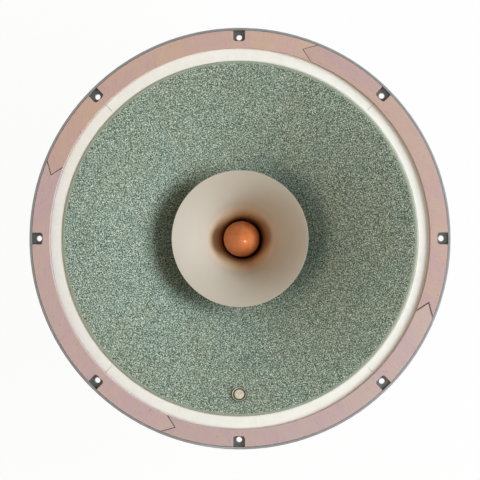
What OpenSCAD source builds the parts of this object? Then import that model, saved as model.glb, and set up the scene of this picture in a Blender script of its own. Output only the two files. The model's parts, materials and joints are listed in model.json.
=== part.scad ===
// A 15-inch class full-range speaker driver with a field-coil magnet.
// The driver's axis is Z and it faces +Z. The origin is the centre of the flange's rear face,
// where the driver meets its baffle. Millimetres throughout.

/* [Flange] */
// Outside diameter of the flange
flange_d = 387; // [360:1:420]
// Thickness of the flange plate
flange_t = 5; // [4:0.5:7]
// Width of the raised lip round the flange's edge
lip_w = 2; // [1.4:0.1:3]
// Distance of the circle of mounting holes from the flange's edge
hole_edge = 8.5; // [7:0.5:10]
// Diameter of a mounting hole
hole_d = 5.2; // [4.4:0.1:5.6]
// Number of mounting holes
hole_count = 8; // [4:4:8]
// Bevel on the lip's outer edge
lip_bevel = 0.6; // [0.2:0.1:1]

/* [Gasket] */
// Thickness of the fibre gasket, which the lip matches
gasket_t = 4; // [2.5:0.5:6]
// Radial width of the gasket
gasket_w = 16.2; // [14:0.2:17]
// Width of the notch round a mounting hole
notch_w = 10.8; // [9:0.2:13]
// How far a notch reaches inwards past its hole's centre
notch_past = 3.6; // [3:0.1:4.4]
// Corner radius at a notch's inner end
notch_r = 2.4; // [2:0.2:4.4]
// Bearing of the first arrow joint
arrow_turn = 68; // [60:1:80]
// How far an arrow joint's point leads its legs
arrow_lead = 10.6; // [6:0.2:14]
// Gap in an arrow joint
joint_gap = 0.4; // [0.2:0.05:0.6]

/* [Surround] */
// Thickness of the surround leather
leather_t = 0.8; // [0.6:0.1:1]
// Width of the surround's trough
trough_w = 9.6; // [8:0.2:14]
// Depth of the surround's trough
trough_depth = 0.5; // [0.3:0.1:2]
// Flat leather that shows inside the gasket before the trough
flat_show = 1.8; // [1:0.2:3]
// Width of the leather glued behind the cone's edge
cone_flap = 5; // [3:0.5:8]
// Bearing of the first seam between the strips
seam_turn = 45; // [30:1:60]
// Gap in a seam
seam_gap = 0.3; // [0.2:0.05:0.5]

/* [Cone] */
// Depth of the main cone from its edge to its neck
cone_depth = 82; // [74:1:90]
// Thickness of the cone's paper
cone_t = 0.9; // [0.7:0.1:1.2]
// How strongly the cone's side curves
cone_curve = 1.1; // [0.6:0.1:1.6]
// Width of the hem that turns down at the cone's edge
hem_w = 3; // [2:0.5:5]
// How far the hem turns down
hem_drop = 0.4; // [0.2:0.1:0.8]
// Length of the cone's collar on the former
collar_h = 4; // [3:0.5:6]
// Diameter of the round badge
badge_d = 14; // [10:0.5:18]
// Distance of the badge's middle from the cone's edge
badge_in = 19.2; // [12:0.2:40]
// Thickness of the badge
badge_t = 1.2; // [0.8:0.1:2]
// Distance of a lead eyelet from the driver's axis
eyelet_out = 48; // [44:1:56]
// Bearing of a lead eyelet to either side of the terminals
eyelet_turn = 11.5; // [9:0.5:14]

/* [Whizzer] */
// Diameter of the whizzer cone's rim
whizzer_d = 127; // [118:1:138]
// Depth of the whizzer cone from its rim to its neck
whizzer_depth = 59; // [44:1:64]
// Thickness of the whizzer's paper
whizzer_t = 0.5; // [0.4:0.1:0.8]
// How strongly the whizzer's side curves
whizzer_curve = 2; // [1.4:0.1:2.6]
// Length of the whizzer's collar on the former
whizzer_collar_h = 3; // [2:0.5:4]

/* [Voice coil] */
// Outside diameter of the voice-coil former
former_d = 39; // [38:0.5:41]
// Wall of the former
former_t = 0.25; // [0.2:0.05:0.3]
// Radial build of the voice-coil winding
coil_t = 0.6; // [0.4:0.1:0.8]
// Length of the voice-coil winding
coil_len = 14; // [12:0.5:16]

/* [Centring disc] */
// Diameter of the centring disc's glued rim
disc_d = 151; // [140:1:170]
// Thickness of the centring disc's cloth
disc_t = 0.6; // [0.5:0.1:0.8]
// Number of corrugations
wave_count = 6; // [4:1:8]
// Height of a corrugation each way
wave_h = 1.8; // [1.2:0.2:2.2]
// Radial width of the rim and of its clamp ring
rim_w = 7; // [6:0.5:8]
// Thickness of the clamp ring
clamp_t = 2; // [1.6:0.2:3]
// Length of the disc's hub on the former
hub_h = 4; // [3:0.5:5]

/* [Basket] */
// Number of spokes
spoke_count = 8; // [4:4:8]
// Width of a spoke
spoke_w = 16; // [12:1:20]
// Thickness of a spoke's web
web_t = 4; // [3:0.5:6]
// Thickness of the rib behind a spoke
rib_t = 5; // [4:0.5:8]
// Height of the rim's skirt behind the flange
skirt_h = 6; // [6:0.5:9]
// Wall of the rim's skirt
skirt_t = 3.8; // [3:0.2:4.6]
// Height of the wall that carries the centring disc
seat_h = 14; // [13:0.5:18]
// Width of that wall
seat_w = 8; // [8:0.5:10]
// Thickness of the foot on the magnet
foot_t = 5; // [4:0.5:7]
// Width of the foot outside that wall, where its screws are
foot_w = 12; // [11:0.5:16]
// How far a rib's foot reaches past the magnet
rib_past = 8; // [4:0.5:14]
// How far a window stays inside the skirt
window_in = 5; // [4:0.5:10]
// Size of the gusset at each end of a spoke
gusset = 9; // [5:0.5:11]

/* [Magnet] */
// Thickness of the front plate
front_plate_t = 10; // [8:0.5:11]
// Length of the pot between the plates
pot_len = 58; // [50:1:70]
// Wall of the pot
pot_wall = 9; // [8.6:0.2:11]
// Thickness of the back plate
back_plate_t = 10; // [9:0.5:12]
// Thickness of the copper cap on the pole
cap_t = 0.45; // [0.3:0.05:0.5]
// Length of the copper cap down the pole
cap_h = 14; // [12:0.5:16]
// Wall of the field coil's bobbin tube
bobbin_wall = 1.5; // [1:0.25:2.5]
// Thickness of a bobbin flange
bobbin_flange_t = 2; // [1.5:0.25:3]
// Field winding short of the bobbin's edge
winding_in = 6; // [3:0.5:12]
// Number of screws in the basket's foot
foot_screw_count = 8; // [4:4:8]
// Number of screws in the back plate
back_screw_count = 6; // [4:1:8]
// Diameter of a foot or back-plate screw
big_screw_d = 5; // [4:0.5:5.5]
// Diameter of the pole's bolt
pole_bolt_d = 10; // [8:1:12]

/* [Phase plug] */
// Diameter of the phase plug
plug_d = 33.5; // [32:0.5:35]
// Length of the plug's rounded nose
nose_len = 10.5; // [8:0.5:20]
// Fullness of the nose, where a half is round and one is pointed
nose_power = 0.6; // [0.5:0.05:0.8]
// How far the plug's tip stands below the whizzer's rim
plug_sunk = 19.5; // [4:0.5:24]
// Diameter of the stud that holds the plug
stud_d = 6; // [5:0.5:8]

/* [Terminals] */
// Width of the terminal board
board_w = 50; // [46:1:52]
// Height of the terminal board
board_h = 22; // [20:1:26]
// Thickness of the terminal board
board_t = 3; // [2:0.5:4]
// Distance between the two terminals
post_pitch = 19; // [16:0.5:20]
// Distance between the board's screws
board_screw_pitch = 40; // [38:0.5:41]
// Diameter of a terminal's barrel
post_d = 9.6; // [9:0.2:11]
// Length of a terminal's barrel
post_len = 15; // [14:0.5:18]
// Diameter of a plunger's stem
plunger_d = 5.8; // [5:0.2:6.2]
// Travel of a plunger
press = 3; // [2:0.25:3.5]
// Thickness of a plunger's button
button_t = 3.6; // [3:0.2:5]
// Diameter of the wire hole across a terminal
wire_d = 2.2; // [1.6:0.1:2.6]
// Wire of a terminal's spring
spring_wire = 0.5; // [0.4:0.05:0.6]
// Turns of a terminal's spring
spring_turns = 5; // [4:0.5:6]
// Diameter of the small screws
small_screw_d = 3; // [2.5:0.1:3.2]
// Width of the field-coil terminal block
block_w = 44; // [40:1:50]
// Height of the field-coil terminal block
block_h = 20; // [16:1:24]
// How far the field-coil terminal block stands out of the pot
block_t = 9; // [7:0.5:12]
// Distance between the field-coil terminals
block_pitch = 14; // [12:0.5:16]
// Distance between the screws of the field-coil block
block_screw_pitch = 34; // [32:0.5:36]
// Diameter of a tinsel lead
lead_d = 2; // [1.4:0.1:2.2]
// Diameter of the wire from an eyelet to the voice coil
coil_wire_d = 0.5; // [0.3:0.1:0.6]

/* [Clearances] */
// Play between the gasket and the lip
edge_gap = 0.3; // [0.2:0.05:0.5]
// Gap between a soft piece and what moves against it
soft_gap = 0.3; // [0.2:0.05:0.4]
// Thickness of a glue line
glue_gap = 0.05; // [0.02:0.01:0.1]
// Play of a screw in its thread
thread_gap = 0.05; // [0.02:0.01:0.1]
// Play of a screw in its clearance hole
screw_gap = 0.25; // [0.15:0.05:0.4]
// Air between the voice coil and the iron on either side
air_gap = 0.4; // [0.3:0.05:0.6]
// Play of a plunger in its barrel
plunger_gap = 0.3; // [0.2:0.05:0.4]
// Play of the field coil under the front plate
coil_play = 0.2; // [0.1:0.05:0.4]

/* [Hidden] */
$fn = 96;

// Far enough past a face to cut it cleanly
past = 1;
// Steps along the curved outlines
cone_steps = 40;
whizzer_steps = 28;
trough_steps = 16;
steps_a_wave = 10;
// Flat cloth beside the corrugations, at the hub and at the seat
hub_flat = 3.5;
wave_end = 0.5;
nose_steps = 16;
segment_count = 4;

// Flange, gasket and surround
flange_r = flange_d / 2;
lip_in = flange_r - lip_w;
face_z = flange_t;
front_z = flange_t + gasket_t;
hole_pcd = flange_d - 2 * hole_edge;
hole_out = hole_pcd / 2;
gasket_out = lip_in - edge_gap;
gasket_in = gasket_out - gasket_w;
notch_in = hole_out - notch_past;
flap_out = notch_in - edge_gap;
ledge_out = flap_out + edge_gap / 2;
rim_in = gasket_in - flat_show;
rim_out = rim_in + skirt_t;
trough_out = rim_in - soft_gap;
trough_in = trough_out - trough_w;
cone_d = 2 * (trough_in - soft_gap);
cone_r = cone_d / 2;
badge_out = cone_r - badge_in;

// Lead eyelets
eyelet_r = 1.3;
eyelet_head_r = 2.3;
eyelet_head_t = 0.3;
eyelet_play = 0.12;

// Cone, whizzer and voice coil
former_past = 0.5;
former_r = former_d / 2;
neck_r = former_r + glue_gap;
edge_z = face_z + soft_gap + cone_t;
neck_z = edge_z + hem_drop - cone_depth;
collar_z = neck_z - collar_h;
whizzer_r = whizzer_d / 2;
whizzer_foot_z = neck_z + cone_t;
whizzer_neck_z = whizzer_foot_z + whizzer_collar_h;
whizzer_rim_z = whizzer_neck_z + whizzer_depth;

// Centring disc and its seat
seat_past = 0.5;
hub_top_z = collar_z - soft_gap - wave_h;
disc_z = hub_top_z - hub_h;
disc_r = disc_d / 2;
seat_z = disc_z - disc_t;
seat_out = disc_r + seat_past;
seat_in = seat_out - seat_w;
rim_mid = disc_r - rim_w / 2;
wave_in = former_r + hub_flat;
wave_out = min(seat_in, disc_r - rim_w) - 2 * wave_end;

// Basket and magnet
foot_z = seat_z - seat_h;
magnet_d = 2 * (seat_out + foot_w);
magnet_r = magnet_d / 2;
foot_in = seat_in - foot_t;
foot_screw_out = seat_out + foot_w / 2;
window_r = rim_in - window_in;
spoke_turn = 180 / spoke_count;
web_top_z = -skirt_h + web_t / 2;
web_slope = (web_top_z - seat_z) / (rim_in - seat_out);
plate_hole_r = former_r + glue_gap + coil_t + air_gap;
coil_mid_z = foot_z - front_plate_t / 2;
former_end_z = coil_mid_z - coil_len / 2 - former_past;
pot_top_z = foot_z - front_plate_t;
pot_end_z = pot_top_z - pot_len;
back_z = pot_end_z - back_plate_t;
// How far the back screws stand inside the wall's middle, so that their heads' seats stay closed
back_screw_in = 1;
back_screw_out = magnet_r - pot_wall / 2 - back_screw_in;
cap_out = former_r - former_t - air_gap;
pole_r = cap_out - cap_t - glue_gap;
cap_top_z = foot_z + cap_t;
bobbin_in = plate_hole_r + air_gap;
bobbin_out = magnet_r - pot_wall - coil_play;
bobbin_top_z = pot_top_z - coil_play;

// Screws
big_head_d = big_screw_d * 1.7;
big_head_h = big_screw_d * 0.7;
small_head_d = small_screw_d * 1.85;
small_head_h = small_screw_d * 0.6;
slot_share = 0.2;
clamp_screw_count = 6;
clamp_screw_len = 8;
board_screw_len = 11;
block_screw_len = 14;
plate_thread = 10;
back_thread = 9;
thread_depth = 12;
head_sink = 0.5;
back_screw_turn = 30;
bolt_head_d = pole_bolt_d * 1.7;
bolt_head_h = pole_bolt_d * 0.6;
bolt_sink = pole_bolt_d * 0.7;
bolt_len = pole_bolt_d * 2;

// Phase plug
plug_r = plug_d / 2;
plug_tip_z = whizzer_rim_z - plug_sunk;
plug_thread_h = 12;
stud_in_pole = 14;

// Terminals
board_out = magnet_r;
board_in_y = -board_out;
board_y = board_in_y - board_t;
board_lift = 0.4;
board_low_z = foot_z + foot_t + board_lift;
board_screw_z = board_low_z + board_h * 0.3;
post_z = board_low_z + board_h * 0.66;
post_washer_t = 1.5;
post_washer_past = 0.7;
post_floor = 3.5;
post_end_y = board_y - post_len;
plunger_r = plunger_d / 2;
bore_r = plunger_r + plunger_gap;
button_in_y = post_end_y - press - soft_gap;
wire_in = 1.7;
wire_y = post_end_y + wire_d / 2 + wire_in;
stem_in = 5;
stem_start_y = post_end_y + stem_in;
spring_start_y = board_y - post_floor - glue_gap * 2;
spring_len = spring_start_y - stem_start_y - soft_gap;
spring_r = bore_r - soft_gap - spring_wire / 2;
post_stem_r = 1.9;
post_nut_t = 2.4;
post_nut_r = 3.6;
post_stem_in = 4;
block_z = (pot_top_z + pot_end_z) / 2;
block_y = -magnet_r - block_t;
block_low = 6;
block_floor = 2;
tag_t = 0.8;
tag_past = 1;

// Route of the right-hand tinsel lead, from its terminal to its eyelet
LEAD_ROUTE = [
    [9.5, -83.8, -80], [9.5, -81, -80], [9.5, -77.5, -79], [9.5, -74, -76.5],
    [9.6, -70.5, -73], [9.6, -66.5, -69.5], [9.7, -62, -66.5], [9.8, -57.5, -63.5],
    [9.9, -53.5, -60], [9.9, -50.5, -56.5], [9.8, -48.5, -53.5]
];

function unit(v) = v / norm(v);
function polar(r, turn) = [r * cos(turn), r * sin(turn)];

// Share of the depth that a curved side has reached at a share of its width
function rise(share, curve) = (1 - exp(-curve * share)) / (1 - exp(-curve));

// Height of the cone's front face at a radius
function cone_z(r) =
    neck_z + cone_depth * rise((r - neck_r) / (cone_r - neck_r), cone_curve)
    - hem_drop * pow(max(0, (r - cone_r + hem_w) / hem_w), 2);

// Height of the whizzer's front face at a radius
function whizzer_z(r) =
    whizzer_neck_z + whizzer_depth * rise((r - neck_r) / (whizzer_r - neck_r), whizzer_curve);

// Slope of a face that is given as a function of the radius
function slope(face, r) = (face(r + 0.01) - face(r - 0.01)) / 0.02;

// Height of the back of a sheet of thickness t
function back_of(face, r, t) = face(r) - t * sqrt(1 + pow(slope(face, r), 2));

// Closed outline of a sheet of thickness t whose front follows a function of the radius
function sheet(face, radii, t) = concat(
    [for (r = radii) [r, face(r)]],
    [for (i = [len(radii) - 1 : -1 : 0]) [radii[i], back_of(face, radii[i], t)]]
);

// Height of the surround's upper face at a radius
function surround_z(r) =
    r >= trough_out ? face_z
    : r >= trough_in
    ? face_z - trough_depth * pow(sin(180 * (trough_out - r) / (trough_out - trough_in)), 2)
    : min(face_z, back_of(function(q) cone_z(q), min(r, cone_r), cone_t) - soft_gap);

// Height of the centring disc's upper face at a radius
function disc_top(r) =
    r <= wave_in || r >= wave_out ? disc_z
    : disc_z + wave_h * sin(360 * wave_count * (r - wave_in) / (wave_out - wave_in));

// Points round a tube at one place of its path
function ring(place, way, side, r, sides) =
    let (u = unit(cross(way, side)), v = cross(way, u))
    [for (k = [0 : sides - 1]) place + r * (cos(360 * k / sides) * u + sin(360 * k / sides) * v)];

// Directions of a path at each of its points
function ways(path) = [
    for (i = [0 : len(path) - 1])
        unit(path[min(i + 1, len(path) - 1)] - path[max(i - 1, 0)])
];

// A round tube along a path. Each place of the path has a side vector that keeps it from twisting
module tube(path, sides_at, r, sides) {
    way = ways(path);
    last = len(path) - 1;
    points = [for (i = [0 : last]) each ring(path[i], way[i], sides_at[i], r, sides)];
    skin = [
        for (i = [0 : last - 1], k = [0 : sides - 1])
            let (a = i * sides + k, b = i * sides + (k + 1) % sides)
            each [[a, b, a + sides], [b, b + sides, a + sides]]
    ];
    near_end = [for (k = [1 : sides - 2]) [0, k + 1, k]];
    far_end = [for (k = [1 : sides - 2]) [0, k, k + 1] + [1, 1, 1] * last * sides];
    polyhedron(points, concat(skin, near_end, far_end));
}

// Copies of a piece at each bearing round the axis
module around(count, first = 0) {
    for (k = [0 : count - 1]) rotate([0, 0, first + 360 * k / count]) children();
}

// A ring with straight sides between two heights
module band(r_in, r_out, low, high) {
    rotate_extrude() translate([r_in, low]) square([r_out - r_in, high - low]);
}

// Places a piece on the cone's front face
module on_cone(r, bearing) {
    tilt = atan(slope(function(q) cone_z(q), r));
    rotate([0, 0, bearing]) translate([r, 0, cone_z(r)]) rotate([0, -tilt, 0]) children();
}

// A slotted cheese-head screw along Z, with its head above z = 0
module screw(d, head_d, head_h, len) {
    difference() {
        union() {
            cylinder(d = head_d, h = head_h);
            translate([0, 0, -len]) cylinder(d = d, h = len + head_h / 2);
        }
        translate([-head_d, -head_d * slot_share / 2, head_h * 0.5])
            cube([head_d * 2, head_d * slot_share, head_h]);
    }
}

module big_screw(len) screw(big_screw_d, big_head_d, big_head_h, len);
module small_screw(len) screw(small_screw_d, small_head_d, small_head_h, len);

// The flange with its lip and the skirt behind it, as a half section
module rim_section() {
    polygon([
        [rim_in, -skirt_h], [rim_out, -skirt_h], [rim_out, 0], [flange_r, 0],
        [flange_r, front_z - lip_bevel], [flange_r - lip_bevel, front_z], [lip_in, front_z],
        [lip_in, face_z], [ledge_out, face_z], [ledge_out, face_z - leather_t],
        [rim_in, face_z - leather_t]
    ]);
}

// The sloping wall that the windows are cut from, as a half section
module web_section() {
    drop = web_t * sqrt(1 + pow(web_slope, 2));
    polygon([
        [seat_out, seat_z], [rim_in, web_top_z], [rim_out, web_top_z],
        [rim_out, web_top_z - drop], [rim_in, web_top_z - drop], [seat_out, seat_z - drop]
    ]);
}

// A spoke seen from the front, with a gusset at each end
module spoke_outline() {
    half = spoke_w / 2;
    ends = [
        [seat_out - past, half + gusset], [seat_out + gusset, half],
        [window_r - gusset, half], [window_r + past, half + gusset]
    ];
    polygon(concat(ends, [for (i = [3 : -1 : 0]) [ends[i][0], -ends[i][1]]]));
}

// The rib behind a spoke
module rib() {
    rib_foot = magnet_r + rib_past;
    rotate([90, 0, 0]) translate([0, 0, -rib_t / 2]) linear_extrude(rib_t)
        polygon([
            [seat_out - past, foot_z], [rib_foot, foot_z], [rim_out, -skirt_h * 2],
            [rim_out, -skirt_h + past], [rim_in, -skirt_h + past], [seat_out, seat_z - past],
            [seat_out - past, seat_z - past]
        ]);
}

// A boss that carries one side of the terminal board, cut clear of the disc's rim
module board_boss(side) {
    boss_d = small_screw_d * 2.8;
    difference() {
        translate([side * board_screw_pitch / 2, board_in_y, board_screw_z]) rotate([-90, 0, 0])
            cylinder(d = boss_d, h = board_out - seat_out + seat_w / 2);
        translate([0, 0, seat_z]) cylinder(r = seat_out, h = boss_d);
    }
}

module basket() {
    color("dimgray") difference() {
        union() {
            rotate_extrude() rim_section();
            difference() {
                rotate_extrude() web_section();
                translate([0, 0, foot_z]) linear_extrude(-foot_z) difference() {
                    circle(r = window_r);
                    circle(r = seat_out);
                    around(spoke_count, spoke_turn) spoke_outline();
                }
            }
            around(spoke_count, spoke_turn) rib();
            band(seat_in, seat_out, foot_z, seat_z);
            band(foot_in, magnet_r, foot_z, foot_z + foot_t);
            for (side = [-1, 1]) board_boss(side);
        }
        around(hole_count) translate([hole_out, 0, -past])
            cylinder(d = hole_d, h = flange_t + 2 * past);
        around(foot_screw_count) translate([foot_screw_out, 0, foot_z - past])
            cylinder(d = big_screw_d + 2 * screw_gap, h = foot_t + 2 * past);
        around(clamp_screw_count) translate([rim_mid, 0, seat_z - clamp_screw_len])
            cylinder(d = small_screw_d + 2 * thread_gap, h = clamp_screw_len + past);
        for (side = [-1, 1])
            translate([side * board_screw_pitch / 2, board_in_y - past, board_screw_z])
                rotate([-90, 0, 0])
                    cylinder(d = small_screw_d + 2 * thread_gap, h = board_screw_len);
    }
}

// The three corners of an arrow joint, with its legs run on past the gasket's edges
function arrow(turn) =
    let (
        mid = (gasket_in + gasket_out) / 2,
        tip = polar(mid, turn + arrow_lead / mid * 180 / PI),
        low = polar(gasket_in, turn),
        high = polar(gasket_out, turn)
    )
    [low + (low - tip) * 0.3, tip, high + (high - tip) * 0.3];

// The U-shaped notch that clears a screw's head
module notch() {
    translate([notch_in + notch_r, -notch_w / 2]) square([gasket_out - notch_in, notch_w]);
    translate([notch_in, -notch_w / 2 + notch_r])
        square([gasket_out - notch_in, notch_w - 2 * notch_r]);
    for (side = [-1, 1]) translate([notch_in + notch_r, side * (notch_w / 2 - notch_r)])
        circle(r = notch_r);
}

// One of the gasket's arcs, which lies between two arrow joints
module gasket_segment(number) {
    open = joint_gap / 2 / gasket_in * 180 / PI;
    share = 360 / segment_count;
    first = arrow_turn + share * (number - 1) + open;
    last = arrow_turn + share * number - open;
    start = arrow(first);
    end = arrow(last);
    outer = [for (k = [0 : 3]) polar(gasket_out * 1.3, first + (last - first) * k / 3)];
    inner = [polar(gasket_in / 2, last), polar(gasket_in / 2, first)];
    color("rosybrown") translate([0, 0, face_z]) linear_extrude(gasket_t) difference() {
        intersection() {
            difference() {
                circle(r = gasket_out, $fn = 180);
                circle(r = gasket_in, $fn = 180);
            }
            polygon(concat(start, outer, [end[2], end[1], end[0]], inner));
        }
        around(hole_count) notch();
    }
}

// One of the leather strips, from under the gasket to behind the cone's edge
module surround_strip(number) {
    share = 360 / segment_count;
    open = seam_gap / trough_in * 180 / PI;
    flap_in = cone_r - cone_flap;
    radii = concat(
        [flap_out, trough_out],
        [for (k = [1 : trough_steps]) trough_out + (trough_in - trough_out) * k / trough_steps],
        [cone_r, cone_r - hem_w / 2, cone_r - hem_w, flap_in]
    );
    color("ivory") rotate([0, 0, seam_turn + share * (number - 1) + open / 2])
        rotate_extrude(angle = share - open)
            polygon(sheet(function(q) surround_z(q), radii, leather_t));
}

module main_cone() {
    radii = [for (k = [0 : cone_steps]) neck_r + (cone_r - hem_w - neck_r) * k / cone_steps];
    hem = [cone_r - hem_w / 2, cone_r];
    color("darkseagreen") difference() {
        union() {
            rotate_extrude()
                polygon(sheet(function(q) cone_z(q), concat(radii, hem), cone_t));
            band(neck_r, neck_r + cone_t, collar_z, neck_z);
        }
        for (side = [-1, 1]) on_cone(eyelet_out, 270 + side * eyelet_turn)
            translate([0, 0, -cone_t - past]) cylinder(r = eyelet_r, h = cone_t + 2 * past);
    }
}

module whizzer_cone() {
    // Even steps in height rather than in radius, because the throat is steep
    shares = [for (k = [0 : whizzer_steps]) pow(k / whizzer_steps, 1.6)];
    radii = [for (share = shares) neck_r + (whizzer_r - neck_r) * share];
    color("antiquewhite") {
        rotate_extrude() polygon(sheet(function(q) whizzer_z(q), radii, whizzer_t));
        band(neck_r, neck_r + whizzer_t, whizzer_foot_z, whizzer_neck_z);
    }
}

module coil_former() {
    color("silver") band(former_r - former_t, former_r, former_end_z, whizzer_neck_z);
}

module voice_coil_winding() {
    color("chocolate")
        band(neck_r, neck_r + coil_t, coil_mid_z - coil_len / 2, coil_mid_z + coil_len / 2);
}

// A plain round badge with a double rim and a bare face
module cone_badge() {
    r = badge_d / 2;
    color("darkgoldenrod") on_cone(badge_out, 270) translate([0, 0, soft_gap])
        rotate_extrude() polygon([
            [0, 0], [r, 0], [r, badge_t * 0.8], [r * 0.96, badge_t], [r * 0.88, badge_t],
            [r * 0.85, badge_t * 0.7], [r * 0.79, badge_t * 0.7], [r * 0.77, badge_t * 0.9],
            [r * 0.72, badge_t * 0.9], [r * 0.7, badge_t * 0.6], [0, badge_t * 0.6]
        ]);
}

module lead_eyelets() {
    color("goldenrod") for (side = [-1, 1]) on_cone(eyelet_out, 270 + side * eyelet_turn)
        difference() {
            union() {
                translate([0, 0, eyelet_play])
                    cylinder(r = eyelet_head_r, h = eyelet_head_t);
                translate([0, 0, -cone_t - eyelet_play - eyelet_head_t])
                    cylinder(r = eyelet_head_r, h = eyelet_head_t);
                translate([0, 0, -cone_t - eyelet_play - eyelet_head_t / 2]) cylinder(
                    r = eyelet_r - eyelet_play,
                    h = cone_t + 2 * eyelet_play + eyelet_head_t
                );
            }
            translate([0, 0, -cone_t - past]) cylinder(r = eyelet_r / 2, h = cone_t + 2 * past);
        }
}

// The two wires glued behind the cone, from the eyelets to the top of the centring disc's hub
module coil_leads() {
    off = coil_wire_d / 2 + eyelet_play;
    low = neck_r + cone_t + off;
    start = eyelet_out - eyelet_head_r - off - past;
    steps = 10;
    color("chocolate") for (side = [-1, 1]) {
        turn = 270 + side * eyelet_turn;
        flat = concat(
            [for (k = [0 : steps])
                let (
                    r = start + (low + 2 - start) * k / steps,
                    tilt = atan(slope(function(q) cone_z(q), r))
                )
                [r + off * sin(tilt), back_of(function(q) cone_z(q), r, cone_t) - off * cos(tilt)]],
            [[low, neck_z - collar_h / 2], [low, collar_z], [low, hub_top_z + soft_gap]]
        );
        path = [for (p = flat) [p[0] * cos(turn), p[0] * sin(turn), p[1]]];
        tube(path, [for (p = path) [-sin(turn), cos(turn), 0]], coil_wire_d / 2, 6);
    }
}

module tinsel_lead(side) {
    path = [for (p = LEAD_ROUTE) [side * p[0], p[1], p[2]]];
    color("peru") tube(path, [for (p = path) [1, 0, 0]], lead_d / 2, 8);
}

module centring_disc() {
    steps = wave_count * steps_a_wave;
    waves = [for (k = [0 : steps]) wave_in + (wave_out - wave_in) * k / steps];
    hub_in = former_r + soft_gap;
    radii = concat([hub_in], waves, [wave_out + wave_end, disc_r]);
    color("khaki") difference() {
        union() {
            rotate_extrude() polygon(sheet(function(q) disc_top(q), radii, disc_t));
            band(hub_in, hub_in + disc_t, disc_z - disc_t, hub_top_z);
        }
        around(clamp_screw_count) translate([rim_mid, 0, disc_z - disc_t - past])
            cylinder(d = small_screw_d + 2 * screw_gap, h = disc_t + 2 * past);
    }
}

module disc_clamp_ring() {
    color("tan") difference() {
        band(disc_r - rim_w, disc_r, disc_z, disc_z + clamp_t);
        around(clamp_screw_count) translate([rim_mid, 0, disc_z - past])
            cylinder(d = small_screw_d + 2 * screw_gap, h = clamp_t + 2 * past);
    }
}

module clamp_ring_screws() {
    color("silver") around(clamp_screw_count)
        translate([rim_mid, 0, disc_z + clamp_t])
            small_screw(clamp_t + disc_t + clamp_screw_len - past);
}

module basket_screws() {
    color("silver") around(foot_screw_count)
        translate([foot_screw_out, 0, foot_z + foot_t])
            big_screw(foot_t + front_plate_t + plate_thread);
}

module front_plate() {
    color("gray") difference() {
        band(plate_hole_r, magnet_r, pot_top_z, foot_z);
        around(foot_screw_count) translate([foot_screw_out, 0, pot_top_z - past])
            cylinder(d = big_screw_d + 2 * screw_gap, h = front_plate_t + 2 * past);
    }
}

module pole_piece() {
    color("gray") difference() {
        translate([0, 0, pot_end_z]) cylinder(r = pole_r, h = foot_z - pot_end_z);
        translate([0, 0, foot_z - stud_in_pole])
            cylinder(d = stud_d + 2 * thread_gap, h = stud_in_pole + past);
        translate([0, 0, pot_end_z - past])
            cylinder(d = pole_bolt_d + 2 * thread_gap, h = bolt_len + past);
    }
}

module pole_cap() {
    color("peru") difference() {
        translate([0, 0, cap_top_z - cap_h]) cylinder(r = cap_out, h = cap_h);
        translate([0, 0, cap_top_z - cap_h - past])
            cylinder(r = cap_out - cap_t, h = cap_h - cap_t + past);
        translate([0, 0, cap_top_z - cap_h])
            cylinder(d = stud_d + 2 * screw_gap, h = cap_h + past);
    }
}

module pot() {
    color("slategray") difference() {
        band(magnet_r - pot_wall, magnet_r, pot_end_z, pot_top_z);
        around(foot_screw_count) translate([foot_screw_out, 0, pot_top_z - thread_depth])
            cylinder(d = big_screw_d + 2 * thread_gap, h = thread_depth + past);
        around(back_screw_count, back_screw_turn)
            translate([back_screw_out, 0, pot_end_z - past])
                cylinder(d = big_screw_d + 2 * thread_gap, h = thread_depth + past);
        for (side = [-1, 1]) translate([side * block_screw_pitch / 2, -magnet_r - past, block_z])
            rotate([-90, 0, 0]) cylinder(d = small_screw_d + 2 * thread_gap, h = block_low + past);
    }
}

module back_plate() {
    sink = big_head_h + head_sink;
    color("slategray") difference() {
        translate([0, 0, back_z]) cylinder(r = magnet_r, h = back_plate_t);
        around(back_screw_count, back_screw_turn) translate([back_screw_out, 0, back_z - past]) {
            cylinder(d = big_screw_d + 2 * screw_gap, h = back_plate_t + 2 * past);
            cylinder(d = big_head_d + 4 * screw_gap, h = sink + past);
        }
        translate([0, 0, back_z - past]) {
            cylinder(d = pole_bolt_d + 2 * screw_gap, h = back_plate_t + 2 * past);
            cylinder(d = bolt_head_d + 4 * screw_gap, h = bolt_sink + past);
        }
    }
}

module back_plate_screws() {
    color("silver") around(back_screw_count, back_screw_turn)
        translate([back_screw_out, 0, back_z + big_head_h + head_sink]) mirror([0, 0, 1])
            big_screw(back_plate_t - big_head_h + back_thread);
}

module pole_bolt() {
    color("silver") translate([0, 0, back_z + bolt_sink]) mirror([0, 0, 1]) screw(
        pole_bolt_d, bolt_head_d, bolt_head_h, back_plate_t - bolt_sink + bolt_len - past
    );
}

module field_coil_bobbin() {
    tube_out = bobbin_in + bobbin_wall;
    color("saddlebrown") {
        band(bobbin_in, tube_out, pot_end_z, bobbin_top_z);
        band(bobbin_in, bobbin_out, pot_end_z, pot_end_z + bobbin_flange_t);
        band(bobbin_in, bobbin_out, bobbin_top_z - bobbin_flange_t, bobbin_top_z);
    }
}

module field_coil_winding() {
    color("chocolate") band(
        bobbin_in + bobbin_wall + glue_gap, bobbin_out - winding_in,
        pot_end_z + bobbin_flange_t + glue_gap, bobbin_top_z - bobbin_flange_t - glue_gap
    );
}

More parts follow.
